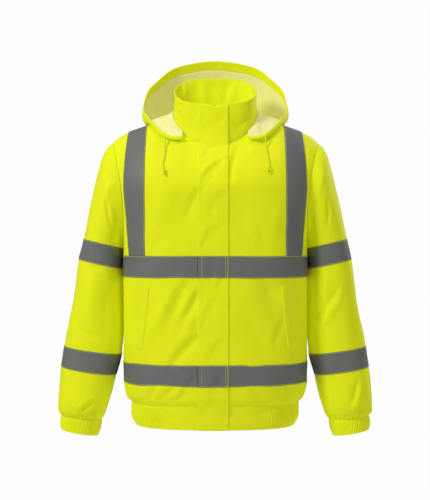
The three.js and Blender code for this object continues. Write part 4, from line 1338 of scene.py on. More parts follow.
    def _relief(self, face: Face, grid: ClothGrid, coarse: SoftNoise, fine: SoftNoise) -> Array:
        """How far a panel's cloth stands off its smooth surface.

        Args:
            face: The face that the panel is on.
            grid: The panel's smooth surface.
            coarse: The noise of its large unevenness.
            fine: The noise of its small unevenness.

        Returns:
            The relief at each point, in millimetres.
        """
        edges = grid.from_edges()
        sides = [edges[key] for key, at in (("start", grid.across[0]), ("end", grid.across[-1]))
                 if abs(at) > self.form.brace_out]
        edges["side"] = np.minimum(*sides) if len(sides) == 2 else sides[0]
        relief = self._creased(face, grid, coarse, fine)
        for key in ("side", "top", "low"):
            relief *= smoothstep(edges[key], 0, self.edge_fade)
        relief += self._sewn(grid, edges, coarse, fine)
        if face is Face.FRONT:
            x, z = grid.points[..., 0], grid.points[..., 2]
            relief += crease_relief([self._slit(side) for side in Side], x, z)
        return relief

    def _creased(self, face: Face, grid: ClothGrid, coarse: SoftNoise, fine: SoftNoise) -> Array:
        """Creases and unevenness, calm beside the sleeve and below the hood's front ends."""
        x, y, z = (grid.points[..., i] for i in range(3))
        across, up = grid.across[None, :], grid.up[:, None]
        facing = smoothstep(np.abs(y), 20, 90)
        if face is Face.FRONT:
            relief = facing * crease_relief(self.FRONT, x, z)
        else:
            relief = facing * crease_relief(self.BACK, x, z) * self.back_strength
        relief += (1 - facing) * crease_relief(self.FLANK, np.where(x > 0, y, -y - self.flank_shift), z)
        beside = bump(y, 0, 55) * smoothstep(np.abs(x), 195, 212) * smoothstep(z, -640, -560)
        relief = relief * (1 - self.calm_share * beside)
        relief += self.sleeve_touch * beside * smoothstep(-z, 315, 350)
        relief += (1 - beside) * self.COARSE.relief(coarse, across, up) + self.FINE.relief(fine, across, up)
        calm = bump(np.abs(x), self.calm_x, self.calm_width) * smoothstep(z, self.calm_from, self.calm_to)
        return relief * (1 - self.calm_share * calm * (face is Face.FRONT))

    def _sewn(self, grid: ClothGrid, edges: dict[str, Array], coarse: SoftNoise, fine: SoftNoise) -> Array:
        """What the seams, the waistband's gathers and the tapes do to a panel."""
        form, width = self.form, walked(grid.points, 1)
        across, up = grid.across[None, :], grid.up[:, None]
        pucker = wave_along(up, self.pucker_pitch, 5 * coarse.at(up / 31, 3.0))
        relief = self.SIDE_SEAM.relief(edges["side"], pucker)
        relief += self.TOP_SEAM.relief(edges["top"]) + self.LOW_SEAM.relief(edges["low"])
        gather = wave_along(width, self.gather_pitch, 4 * coarse.at(across / 40, up / 90))
        reach = smoothstep(np.abs(grid.points[..., 0]), form.band_plain - 10, form.band_plain + 25)
        relief += reach * gather * self.gather_height * bump(edges["low"], self.gather_up, self.gather_reach)
        ripple = self.tape_ripple * wave_along(width, self.tape_pitch, 6 * fine.at(across / 33, 5.0))
        for tape in form.tapes:
            relief += tape_relief(up, tape.low, tape.high, ripple * (np.abs(across) > form.flap_left))
        return relief

    def _slit(self, side: Side) -> Crease:
        """The pocket's slit beside its welt."""
        x = (self.welt_top[0] + self.welt_low[0] + self.welt_width + self.slit.x) / 2
        return self.slit._replace(x=side.value * x, turn=90 + side.value * self.slit.turn)

    def build(self) -> None:
        """Makes the panels, then what is sewn to them."""
        opening, edge = self.form.opening, self.form.edge
        self.grids = {"right": self._panel(Face.FRONT, -edge, -opening, 31),
                      "left": self._panel(Face.FRONT, opening, edge, 41),
                      "back": self._panel(Face.BACK, -edge, edge, 51)}
        for word, grid in self.grids.items():
            self.cloth(self._node(word), grid, self.wall, self.wardrobe.shell)
        self._tapes()
        for side in Side:
            self._brace(side)
            self._welt(side)

    def _node(self, word: str) -> str:
        """A panel's node."""
        return word if word == "back" else f"front_{word}"

    def _tapes(self) -> None:
        """Makes the two tapes round the body, except on the storm flap."""
        form = self.form
        for tape in form.tapes:
            for word, grid in self.grids.items():
                node = self._node(word)
                start, stop = grid.across[0], grid.across[-1]
                if word == "right":
                    stop = -form.flap_right - self.seam_lift
                if word == "left":
                    start = form.flap_left + self.seam_lift
                inside = grid.across[(grid.across > start + 1) & (grid.across < stop - 1)]
                keys = np.concatenate([[start], inside, [stop]])
                self.tape(f"{tape.name}_tape_{node}", grid, keys, tape.low, tape.high, node, tape)

    def _brace(self, side: Side) -> None:
        """Makes a brace from the front waist tape over the shoulder to the back one."""
        form, lift = self.form, self.tape_wall + self.seam_lift
        across = np.sort(side.value * np.linspace(form.brace_in, form.brace_out, self.brace_columns))
        low = form.waist_tape.high + self.seam_lift
        front, back = self.grids[side.word], self.grids["back"]
        inside = front.up[(front.up > low + 1) & (front.up < form.top - 1.5)]
        ups = np.concatenate([[low], inside])[:, None]
        top = (front.sample(across, form.top, lift) + back.sample(across, form.top, lift)) / 2
        rows = np.concatenate([front.sample(across, ups, lift), top[None],
                               back.sample(across, ups[::-1], lift)])
        grid = ClothGrid(across, np.arange(len(rows)), rows, 1)
        node = f"brace_{side.word}"
        self.cloth(node, grid, self.tape_wall, self.wardrobe.tape, "laid", rim=self.tape_rim)
        thread = grid.lifted(0.1)
        for edge, inner in ((0, 1), (-1, -2)):
            self.sewing.add(node, lerp(thread[:, edge], thread[:, inner], 0.35))

    def _welt(self, side: Side) -> None:
        """Makes a pocket's slanted welt on its front, with stitches and bar tacks."""
        columns, rows = self.welt_samples
        share = np.linspace(0, 1, rows)[:, None]
        x, up = (lerp(top, low, share) for top, low in zip(self.welt_top, self.welt_low))
        offset = np.linspace(-0.5, 0.5, columns)
        lift = self.seam_lift + self.welt_wall + self.welt_swell * np.cos(offset * math.pi)
        points = self.grids[side.word].sample(side.value * x + offset * self.welt_width, up, lift)
        grid = ClothGrid(offset, np.arange(rows), points, -1)
        self.cloth(f"pocket_welt_{side.word}", grid, self.welt_wall, self.wardrobe.double, "folded", rim=0.4)
        front = f"front_{side.word}"
        self.sewing.add(front, *(grid.lifted(0.15)[1:-1, column] for column in (1, -2)))
        self.sewing.add(front, *(grid.lifted(0.2)[row] for row in (1, 2, -3, -2)))


@dataclass
class Sleeves(SubAssembly):
    """Both sleeves with their tapes and gathered cuffs."""

    CREASES = {
        Side.RIGHT: creases(
            (133, 50, 35, 80, 11, -3.0, 3, 0.4), (126, 190, 0, 46, 6, -2.2, 0, 0.4),
            (119, 250, 90, 140, 14, 2.6), (161, 300, 88, 170, 20, -3.6, 4),
            (144, 520, 143, 60, 7, -3.2, 2, 0.5), (112, 25, 90, 60, 8, 2.2),
            (70, 290, 84, 150, 18, -2.6, 4), (95, 470, 70, 80, 12, -2.6, 3, 0.4),
            (120, 345, 20, 70, 9, -2.2, 2, 0.4)),
        Side.LEFT: creases(
            (170, 283, 42, 180, 12, -5.2, 6, 0.7), (146, 262, 44, 110, 9, 2.0), (100, 13, 0, 60, 7, 2.0),
            (114, 70, 70, 60, 8, -2.8, 2, 0.3), (109, 488, 60, 80, 8, -3.6, 3, 0.6),
            (150, 230, 90, 60, 9, 2.2), (75, 330, 86, 140, 18, -2.4, 4),
            (150, 470, 118, 90, 11, -2.6, 2, 0.4), (60, 215, 95, 110, 14, 1.8)),
    }
    HIDDEN = creases(
        (330, 300, 52, 170, 14, -4.2, 5, 0.5), (392, 250, 96, 150, 18, -3.0, 4),
        (300, 480, 118, 80, 10, -3.0, 2, 0.4), (432, 480, 66, 90, 10, -2.8, 2, 0.4),
        (350, 90, 62, 90, 12, -2.4, 2, 0.3), (430, 120, 112, 110, 16, -2.2), (252, 260, 10, 120, 12, -2.4),
        (20, 280, 96, 160, 20, -2.0), (488, 330, 84, 150, 18, 2.0), (30, 470, 98, 90, 12, -2.4, 2, 0.4))
    COARSE, FINE = Uneven(1.4, 45, 60), Uneven(0.5, 360 / 22, 25)
    ARM_SEAM, END_SEAM = SeamPull(1.2, 3.4, 0.6, 9), SeamPull(0.7, 3)
    SEEDS = {Side.RIGHT: 61, Side.LEFT: 71}

    columns: int = 120
    rows: int = 126
    degree: float = 1.4
    touch: float = 1.7
    start_fade: float = 20.0
    end_fade: float = 22.0
    puckers: int = 58
    gathers: int = 41
    gather_height: float = 2.1
    gather_spread: float = 0.5
    under_seam_depth: float = 0.5
    tape_ripples: int = 36
    tape_ripple: float = 0.4
    cuff_length: float = 35.0
    cuff_columns: int = 480
    cuff_gathers: int = 48
    cuff_lean: float = 16.0
    cuff_height: float = 2.2
    cuff_stitch: float = 4.0

    def _grid(self, side: Side) -> ClothGrid:
        """One sleeve's outer surface with its creases and gathers."""
        form, seed = self.form, self.SEEDS[side]
        angle = np.linspace(0, 360, self.columns + 1)
        along = steps(0, form.ring_along[-1], self.rows, 1.0)
        base = ClothGrid(angle, along, form.sleeve(side, angle, along[:, None]), side.value, closed=True)
        a, w = angle[None, :], along[:, None]
        turn, low = np.radians(a), along[-1] - w
        coarse, fine = SoftNoise(seed, 8), SoftNoise(seed + 1, 22)
        relief = crease_relief(self.CREASES[side] + self.HIDDEN, a * self.degree, w, 360 * self.degree)
        relief += self.COARSE.relief(coarse, a, w) + self.FINE.relief(fine, a, w)
        relief = relief * (1 - 0.9 * bump(a, 180, 55) * (1 - smoothstep(w, 380, 460)))
        relief += self.touch * bump(a, 180, 34) * smoothstep(w, 60, 110) * (1 - smoothstep(w, 330, 420))
        relief = relief * smoothstep(low, 0, self.end_fade) * smoothstep(w, 0, self.start_fade)
        relief += self.ARM_SEAM.relief(w, np.sin(turn * self.puckers + 5 * coarse.at(a / 45, 2.0)))
        gather = np.sin(turn * self.gathers + 3.2 * coarse.at(a / 45, w / 70) + w / 14)
        strong = 0.75 + 0.5 * fine.at(a / self.FINE.across, 9.0)
        relief += self.gather_height * strong * gather * bump(low, 12, 17)
        relief += self.gather_spread * gather * bump(low, 45, 26)
        relief += self.END_SEAM.relief(low) - self.under_seam_depth * bump(a, 180, 3.0 / self.degree)
        wave = np.sin(turn * self.tape_ripples + 6 * fine.at(a / self.FINE.across, 4.0))
        for start, stop in self._tape_spans().values():
            relief += tape_relief(w, start, stop, self.tape_ripple * wave)
        return base.moved(relief)

    def _tape_spans(self) -> dict[str, tuple[float, float]]:
        """Where the upper and the lower tape start and stop along a sleeve."""
        form = self.form
        return {level: (form.ring_along[ring], form.ring_along[ring + 1])
                for level, ring in (("upper", form.upper_tape_ring), ("lower", form.lower_tape_ring))}

    def _cuff(self, side: Side) -> None:
        """One cuff with leaning, uneven gathers."""
        angle = np.linspace(0, 360, self.cuff_columns + 1)
        down = steps(0, self.cuff_length, 14, self.edge_row)
        base = ClothGrid(angle, down, self.form.cuff(side, angle, down[:, None]), side.value, closed=True)
        noise = SoftNoise(self.SEEDS[side] + 5, 12)
        a, d, share = angle[None, :], down[:, None], down[:, None] / self.cuff_length
        turn = np.radians(a - self.cuff_lean * share) * self.cuff_gathers
        wave = 0.5 + 0.5 * np.cos(turn + 2.4 * noise.at(a / 30, d / 30))
        height = (self.cuff_height + noise.at(a / 30, 5.0)) * (0.55 + 0.45 * np.sin(math.pi * share))
        ends = 1 - 0.9 * bump(d, 0, 2.2)
        grid = base.moved(height * wave ** 0.8 * ends + 0.3 * noise.at(a / 10, d / 9))
        sleeve = f"sleeve_{side.word}"
        self.cloth(f"cuff_{side.word}", grid, self.wall, self.wardrobe.double, "gathered", [sleeve],
                   self.folded_rim)
        self.sewing.add(sleeve, grid.sample(angle, self.cuff_stitch, self.stitch_lift))

    def build(self) -> None:
        """Makes both sleeves, their tapes and cuffs."""
        for side in Side:
            grid, sleeve = self._grid(side), f"sleeve_{side.word}"
            self.cloth(sleeve, grid, self.wall, self.wardrobe.shell)
            for level, (start, stop) in self._tape_spans().items():
                self.tape(f"sleeve_tape_{level}_{side.word}", grid, grid.across, start, stop, sleeve,
                          rests_on=[sleeve])
            self._cuff(side)


@dataclass
class Waistband(SubAssembly):
    """The plain fronts of the waistband and its gathered elastic part."""

    BLOTCHES = creases(
        (108, -702, 95, 40, 16, -2.2), (-100, -712, 30, 60, 12, -1.6), (60, -716, 160, 60, 11, -1.4),
        (-70, -705, 70, 40, 12, 1.2))
    PLAIN, FINE = Uneven(0.7, 30, 26, 9, 40), Uneven(0.4, 1 / 130, 12, 0, 40)
    TOP_SEAM = SeamPull(0.4, 3)

    gathers: int = 140
    samples: int = 7
    gather_height: float = 2.9
    gather_spread: float = 1.4
    hem_tuck: float = 5.0
    tuck_reach: float = 17.0
    snug: float = 1.6
    end_fade: float = 16.0
    front_stitches: tuple[float, ...] = (-4.0, 7.0)
    elastic_stitches: tuple[float, ...] = (-5.0, 8.0, 26.0)

    grids: dict[str, ClothGrid] = field(default_factory=dict)

    def _stitch_rows(self, insets: Sequence[float]) -> list[float]:
        """Heights of stitch rows, from insets below the band's top (negative) or above its hem."""
        return [self.form.band_top + inset if inset < 0 else self.form.hem + inset for inset in insets]

    def build(self) -> None:
        """Makes the three pieces."""
        up = steps(self.form.hem, self.form.band_top - self.seam_lift, 13, self.edge_row)
        for side in Side:
            self._front(side, up)
        self._elastic(up)

    def _front(self, side: Side, up: Array) -> None:
        """Makes one plain front part."""
        form, front = self.form, f"front_{side.word}"
        stop = form.band_plain - form.gap
        across = np.sort(side.value * steps(form.opening, stop, 34, self.edge_row))
        base = ClothGrid(across, up, form.body(Face.FRONT, across, up[:, None]), 1)
        x, z = base.points[..., 0], base.points[..., 2]
        relief = crease_relief(self.BLOTCHES, x, z) + self.PLAIN.relief(SoftNoise(80 + side.value), x, z)
        relief *= 1 - smoothstep(np.abs(x), stop - self.end_fade, stop - 1)
        relief *= smoothstep(form.band_top - z, 0, 12)
        grid = base.moved(relief + self.TOP_SEAM.relief(form.band_top - z))
        self.grids[side.word] = grid
        self.cloth(f"waistband_{front}", grid, self.wall, self.wardrobe.double, "hung", [front],
                   self.folded_rim)
        for level in self._stitch_rows(self.front_stitches):
            self.sewing.add(front, grid.sample(across, level, self.stitch_lift))

    def _elastic(self, up: Array) -> None:
        """Makes the gathered part, from front to front round the back."""
        form, noise = self.form, SoftNoise(90)
        share = np.linspace(0, 1, self.gathers * self.samples + 1)
        base = ClothGrid(share, up, form.band(share, up[:, None]), 1)
        s, z = share[None, :], up[:, None]
        from_end = np.minimum(s, 1 - s)
        middle = np.clip((z - form.hem) / (form.band_top - form.hem), 0, 1)
        turn = 2 * math.pi * self.gathers * s + 2.2 * noise.at(s * 60, z / 30 + 40)
        height = self.gather_height + self.gather_spread * noise.at(s * 50, 3.0)
        height = height * (0.55 + 0.45 * np.sin(math.pi * middle))
        wave = (0.5 + 0.5 * np.cos(turn)) ** 0.8
        ends = 1 - 0.85 * bump(form.band_top - z, 0, 3)
        relief = height * wave * ends - self.snug + self.FINE.relief(noise, s, z)
        relief *= smoothstep(from_end, 0, 0.003)
        tuck = 1 - smoothstep(z - form.hem, 0, self.tuck_reach)
        grid = base.moved(relief - self.hem_tuck * tuck * smoothstep(from_end, 0.03, 0.12))
        self.cloth("waistband_elastic", grid, self.wall, self.wardrobe.double, "gathered", ["back"],
                   self.folded_rim)
        for level in self._stitch_rows(self.elastic_stitches):
            self.sewing.add("waistband", grid.sample(share, level, self.stitch_lift))


@dataclass
class Collar(SubAssembly):
    """The upright collar, open at the zip."""

    CREASES = creases(
        (150, 24, 62, 50, 7, -2.4, 0, 0.4), (-148, 30, 108, 44, 8, -2.0), (112, 28, 84, 50, 9, -1.4),
        (-96, 30, 92, 46, 9, -1.4), (22, 34, 86, 56, 7, -2.8, 0, 0.5), (-12, 32, 95, 52, 6, -2.4, 0, 0.5),
        (-132, 24, 38, 44, 6, -2.4, 2, 0.4), (134, 30, 146, 46, 6, -2.2, 2, 0.4),
        (-148, 12, 160, 34, 5, -1.8), (5, 30, 92, 50, 5, -2.0, 0, 0.4), (-46, 34, 84, 56, 8, -2.8, 0, 0.4),
        (55, 32, 98, 50, 7, -2.4, 0, 0.5))
    SOFT = Uneven(0.9, 24, 1 / 1.6, 20, 4)

    wall: float = 2.4
    columns: int = 170
    rows: int = 17
    stitch_down: float = 7.0
    neck_stitch: float = 0.09
    calm_from: float = 150.0
    calm_to: float = 165.0
    rim: float = 0.9

    grid: Optional[ClothGrid] = None

    def build(self) -> None:
        """Makes the collar in one piece."""
        form = self.form
        end = 180 - math.degrees(math.asin(form.opening / form.neck_half))
        turn, rise = steps(-end, end, self.columns, 0.6), steps(0, 1, self.rows, 0.02)
        base = ClothGrid(turn, rise, form.collar(turn, rise[:, None]), -1)
        t, r = turn[None, :], rise[:, None]
        relief = self.SOFT.relief(SoftNoise(101), t, r) * smoothstep(r, 0, 0.3)
        relief += crease_relief(self.CREASES, t, r * form.collar_height)
        top = 1 - self.stitch_down / form.collar_height
        relief += 0.3 * bump(r, 0.96, 0.04) - 0.4 * bump(r, top, 0.03) - 0.3 * bump(r, 0, 0.05)
        relief *= 1 - 0.8 * smoothstep(np.abs(t), self.calm_from, self.calm_to)
        self.grid = base.moved(relief)
        self.cloth("collar", self.grid, self.wall, self.wardrobe.double, "folded", rim=self.rim)
        for level in (top, self.neck_stitch):
            self.sewing.add("collar", self.grid.sample(turn[2:-2], level, self.stitch_lift))


@dataclass
class FrontClosure(SubAssembly):
    """The storm flap with its tapes, and the zip behind it."""

    CREASES = creases(
        (-7, -151, 60, 140, 9, -4.2, 9, 0.6), (-10, -300, 52, 85, 10, -3.0, 4, 0.5),
        (14, -404, 60, 40, 7, -2.0, 2, 0.4), (-12, -470, 66, 90, 9, -1.8, 3, 0.3),
        (4, -560, 58, 80, 10, -2.0, 3, 0.4), (-14, -690, 50, 60, 9, -1.8, 2, 0.3),
        (-20, -80, 70, 50, 8, -1.6), (10, -215, 50, 70, 10, -1.8, 2, 0.3),
        (-8, -22, 158, 52, 6, -2.2, 2, 0.4), (6, -2, 20, 40, 6, -1.6, 0, 0.3),
        (-14, -58, 30, 44, 6, -1.8, 2, 0.4), (4, -640, 64, 80, 9, -2.2, 2, 0.3))
    SOFT = Uneven(0.7, 22, 34, 9, 40)
    STITCH_BOX = ((0, 0), (7, 0), (7, 9), (0, 9), (0, 0), (7, 9), (0, 9), (7, 0))
    TEETH = ((-1.25, 0.0), (1.25, 1.3))
    TOOTH = {"pitch": 0.0026, "length": 0.0013, "width": 0.0034, "height": 0.0018, "unevenness": 0.02}

    panels: BodyPanels = field(kw_only=True)
    band: Waistband = field(kw_only=True)
    collar: Collar = field(kw_only=True)
    flap_wall: float = 1.8
    flap_rim: float = 0.6
    flap_columns: int = 17
    rows: tuple[int, int, int] = (13, 143, 13)
    seam_span: float = 6.0
    smoothings: int = 14
    seam_play: float = 0.4
    loose_from: float = 10.0
    loose_height: float = 0.3
    loose_spread: float = 0.35
    stitch_columns: tuple[float, float] = (-30.5, 23.6)
    stitch_dent: float = 0.45
    level_stitches: float = 6.0
    notch_depth: float = 4.0
    tape_short: float = 1.2
    tape_over: float = 0.6
    box_corners: tuple[tuple[float, float], ...] = ((-29.0, -84.0), (19.0, -98.0))
    zip_wall: float = 1.2
    zip_behind: float = 0.4
    zip_half: float = 14.0

    def _lines(self) -> tuple[Array, Array]:
        """Heights and their keys along the front, from hem to collar top."""
        form, (band_rows, body_rows, collar_rows) = self.form, self.rows
        band = np.linspace(form.hem, form.band_top - self.seam_lift, band_rows)
        body = np.linspace(form.band_top, form.top, body_rows)
        edges = [edge + shift for tape in form.tapes for edge in (tape.low, tape.high)
                 for shift in (-self.edge_row, 0, self.edge_row)]
        lower = np.unique(np.concatenate([band, body, edges]))
        clear = (np.abs(lower - form.band_top) > self.seam_span) & (lower < form.top - self.seam_span)
        return lower[clear], np.linspace(form.top + self.seam_span, form.collar_top, collar_rows)

    def _at(self, side: Side, x: float, lift: float = 0.0) -> Array:
        """Points along a front at a distance from its centre line, from hem to collar top."""
        form, (lower, upper) = self.form, self._lines()
        band, panel = self.band.grids[side.word], self.panels.grids[side.word]
        signed, in_band = side.value * x, lower < form.band_top
        turn = side.value * (180 - math.degrees(math.asin(x / form.neck_half)))
        return np.concatenate([
            band.sample(signed, lower[in_band], lift), panel.sample(signed, lower[~in_band], lift),
            self.collar.grid.sample(turn, (upper - form.top) / form.collar_height, lift)])

    def _chords(self, xs: Array) -> ClothGrid:
        """A grid spanned between the fronts' opening edges and the flap's edges."""
        form = self.form
        right, left = form.flap_right + form.gap * 2, form.flap_left + form.gap * 2
        places = [(Side.RIGHT, right), (Side.RIGHT, form.opening),
                  (Side.LEFT, form.opening), (Side.LEFT, left)]
        stops = [side.value * x for side, x in places]
        lines = [self._at(side, x) for side, x in places]
        columns = []
        for x in xs:
            i = int(np.clip(np.searchsorted(stops, x, side="right") - 1, 0, 2))
            columns.append(lerp(lines[i], lines[i + 1], (x - stops[i]) / (stops[i + 1] - stops[i])))
        return ClothGrid(xs, np.concatenate(self._lines()), np.stack(columns, axis=1), 1)

    def _smoothed(self, grid: ClothGrid) -> ClothGrid:
        """The grid with its depth evened out along the front, over the seams beneath."""
        points = grid.points.copy()
        for _ in range(self.smoothings):
            points[1:-1, :, 1] = (points[:-2, :, 1] + 2 * points[1:-1, :, 1] + points[2:, :, 1]) / 4
        points[..., 1] = np.minimum(points[..., 1], grid.points[..., 1] + self.seam_play)
        return ClothGrid(grid.across, grid.up, points, grid.sign)

    def _flap(self, xs: Array) -> ClothGrid:
        """The storm flap's outer surface: sewn flat on its right, looser to its free edge."""
        form, noise = self.form, SoftNoise(111)
        base = self._smoothed(self._chords(xs))
        x, z = base.across[None, :], base.up[:, None]
        loose = smoothstep(x, self.loose_from, form.flap_left)
        loose = loose * (self.loose_height + self.loose_spread * noise.at(z / 70 + 40, 4.0))
        creases = crease_relief(self.CREASES, x, z) + self.SOFT.relief(noise, x, z)
        creases *= smoothstep(x, -form.flap_right, -form.flap_right + 12)
        for line in self.stitch_columns:
            creases = creases - self.stitch_dent * bump(x, line, 1.7)
        creases = np.maximum(creases, -1.5 - 0.5 * loose)
        step = 0.5 * smoothstep(x, -form.flap_right, -20)
        flap = base.moved(self.seam_lift + self.flap_wall + step + loose + creases)
        top = smoothstep(z, form.collar_top - 9, form.collar_top)
        flap.points[..., 2] -= self.notch_depth * bump(x, 0.5, 5.5) * top
        return flap

    def _flap_stitches(self, flap: ClothGrid) -> None:
        """Sews along both edges of the flap, over its tapes, and across its ends."""
        form, xs, keys = self.form, flap.across, flap.up[3:-3]
        on_tape = self.tape_wall + self.seam_lift + 0.25
        taped = np.any([(keys > tape.low - 1) & (keys < tape.high + 1) for tape in form.tapes], axis=0)
        for line in self.stitch_columns:
            lift = np.where(taped, on_tape, self.stitch_lift)
            self.sewing.add("storm_flap", flap.sample(line, keys, lift))
        between = xs[(xs > self.stitch_columns[0]) & (xs < self.stitch_columns[1])]
        for up in (form.hem + self.level_stitches, form.collar_top - self.level_stitches):
            self.sewing.add("storm_flap", flap.sample(between, up, self.stitch_lift))

    def _flap_tapes(self, flap: ClothGrid) -> None:
        """Makes the flap's part of both tapes round the body."""
        stop = self.form.flap_left - self.tape_short
        across = np.append(flap.across[flap.across < stop - 0.5], stop)
        for tape in self.form.tapes:
            self.tape(f"{tape.name}_tape_flap", flap, across, tape.low, tape.high, "storm_flap", tape,
                      ["storm_flap"], self.tape_over)

    def build(self) -> None:
        """Makes the flap, its tapes and the zip."""
        flap = self._flap(steps(-self.form.flap_right, self.form.flap_left, self.flap_columns, 0.9))
        self.cloth("storm_flap", flap, self.flap_wall, self.wardrobe.double, "hung", ["front_right"],
                   self.flap_rim)
        self._flap_stitches(flap)
        self._flap_tapes(flap)
        box = np.array(self.STITCH_BOX, float)
        for x, up in self.box_corners:
            self.sewing.add("storm_flap", flap.sample(x + box[:, 0], up + box[:, 1], self.stitch_lift))
        self._zip()

    def _zip(self) -> None:
        """Makes the zip's tape and its two rows of teeth."""
        base = self._chords(steps(-self.zip_half, self.zip_half, 12))
        beside_collar = base.up[:, None] >= self.form.top
        behind = np.where(beside_collar, self.collar.wall, self.panels.wall) + self.zip_behind
        tape = base.moved(-behind)
        self.cloth("zip", tape, self.zip_wall, self.wardrobe.zip_tape, "hung", ["front_right"])
        teeth = self.wardrobe.teeth
        keys = tape.up[2:-2]
        lines = [tape.sample(x, keys + shift, 0.6) for x, shift in self.TEETH]
        tree = StitchTree("zip_teeth", teeth.material)
        self.dress(tree.along("zip_teeth_rows", lines, **self.TOOTH), teeth)


@dataclass
class Hood(SubAssembly):
    """The hood's two halves, each with its facing and lining."""

    CREASES = {
        Side.RIGHT: creases(
            (120, 18, 60, 40, 7, -2.6, 2, 0.4), (150, 25, 95, 46, 9, -2.4),
            (88, 30, 70, 30, 6, -1.8, 2, 0.3)),
        Side.LEFT: creases(
            (112, 24, 112, 42, 7, -2.4, 2, 0.4), (144, 32, 84, 40, 8, -2.2),
            (92, 22, 96, 34, 6, -1.8, 2, 0.3)),
    }
    COARSE, FINE = Uneven(1.3, 13, 11, 9, 9), Uneven(0.4, 5, 4, 9, 30)
    CENTRE_SEAM = SeamPull(0.7, 2.6)
    SEEDS = {Side.RIGHT: 121, Side.LEFT: 131}

    wall: float = 1.2
    lining_wall: float = 0.8
    columns: int = 100
    lining_rows: int = 50
    facing_rows: int = 7
    rim: float = 0.3
    neck_fade: float = 26.0
    rim_fade: float = 20.0
    centre_fade: float = 16.0
    hollow_depth: float = 4.0
    hollow_angle: float = 136.0
    hollow_width: float = 12.0
    rim_dent: float = 0.3
    facing_stitch: float = 0.6
    stitch_clear: float = 0.15

    def build(self) -> None:
        """Makes shell, facing and lining of each half."""
        form = self.form
        angles = steps(form.hood_from, form.hood_to, self.columns, 0.5)
        points = form.hood(angles, self.lining_rows, self.facing_rows)
        rows = np.arange(len(points), dtype=float)
        for side in Side:
            base = self._seamed(ClothGrid(angles, rows, points * (side.value, 1, 1), side.value))
            self._half(side, self._seamed(base.moved(self._relief(side, base))))

    def _seamed(self, grid: ClothGrid) -> ClothGrid:
        """The grid with normals that stay in the middle plane along the centre seam."""
        grid.normals[:, -1, 0] = 0
        grid.normals[:, -1] = unit(grid.normals[:, -1])
        return grid

    def _relief(self, side: Side, grid: ClothGrid) -> Array:
        """How far a half stands off its smooth surface, with a hollow inside its shoulder."""
        a, r = grid.across[None, :], grid.up[:, None]
        noise, edges = SoftNoise(self.SEEDS[side]), grid.from_edges()
        relief = self.COARSE.relief(noise, a, r) + self.FINE.relief(noise, a, r)
        relief += crease_relief(self.CREASES[side], a, r)
        for key, fade in (("low", self.neck_fade), ("top", self.rim_fade), ("end", self.centre_fade)):
            relief *= smoothstep(edges[key], 0, fade)
        relief -= self.hollow_depth * smoothstep(r, 22, 50) * bump(a, self.hollow_angle, self.hollow_width)
        return relief + self.CENTRE_SEAM.relief(edges["end"]) - self.rim_dent * bump(edges["top"], 20, 2.2)

    def _half(self, side: Side, grid: ClothGrid) -> None:
        """Makes the pieces of one half."""
        word, split = side.word, self.lining_rows
        shell, under = f"hood_{word}", -self.wall - self.seam_lift
        self.cloth(shell, grid, self.wall, self.wardrobe.shell, rim=self.rim)
        inside = grid.lifted(under)
        self.cloth(f"hood_facing_{word}", self._cut(grid, inside, split, None), self.lining_wall,
                   self.wardrobe.double, "folded", [shell], self.rim)
        inside[split] = lerp(inside[split], inside[split - 1], 0.12)
        self.cloth(f"hood_lining_{word}", self._cut(grid, inside, 0, split + 1), self.lining_wall,
                   self.wardrobe.lining, "hung", [shell])
        keys, row, clear = grid.across[2:-2], split + self.facing_stitch, self.stitch_clear
        self.sewing.add("hood", grid.sample(keys, row, clear),
                        grid.sample(keys, row, under - self.lining_wall - clear), grid.lifted(clear)[2:, -5])

    def _cut(self, grid: ClothGrid, points: Array, first: int, last: Optional[int]) -> ClothGrid:
        """Some rows of a grid, with the shell's normals."""
        made = ClothGrid(grid.across, grid.up[first:last], points[first:last], grid.sign)
        made.normals = grid.normals[first:last]
        return made


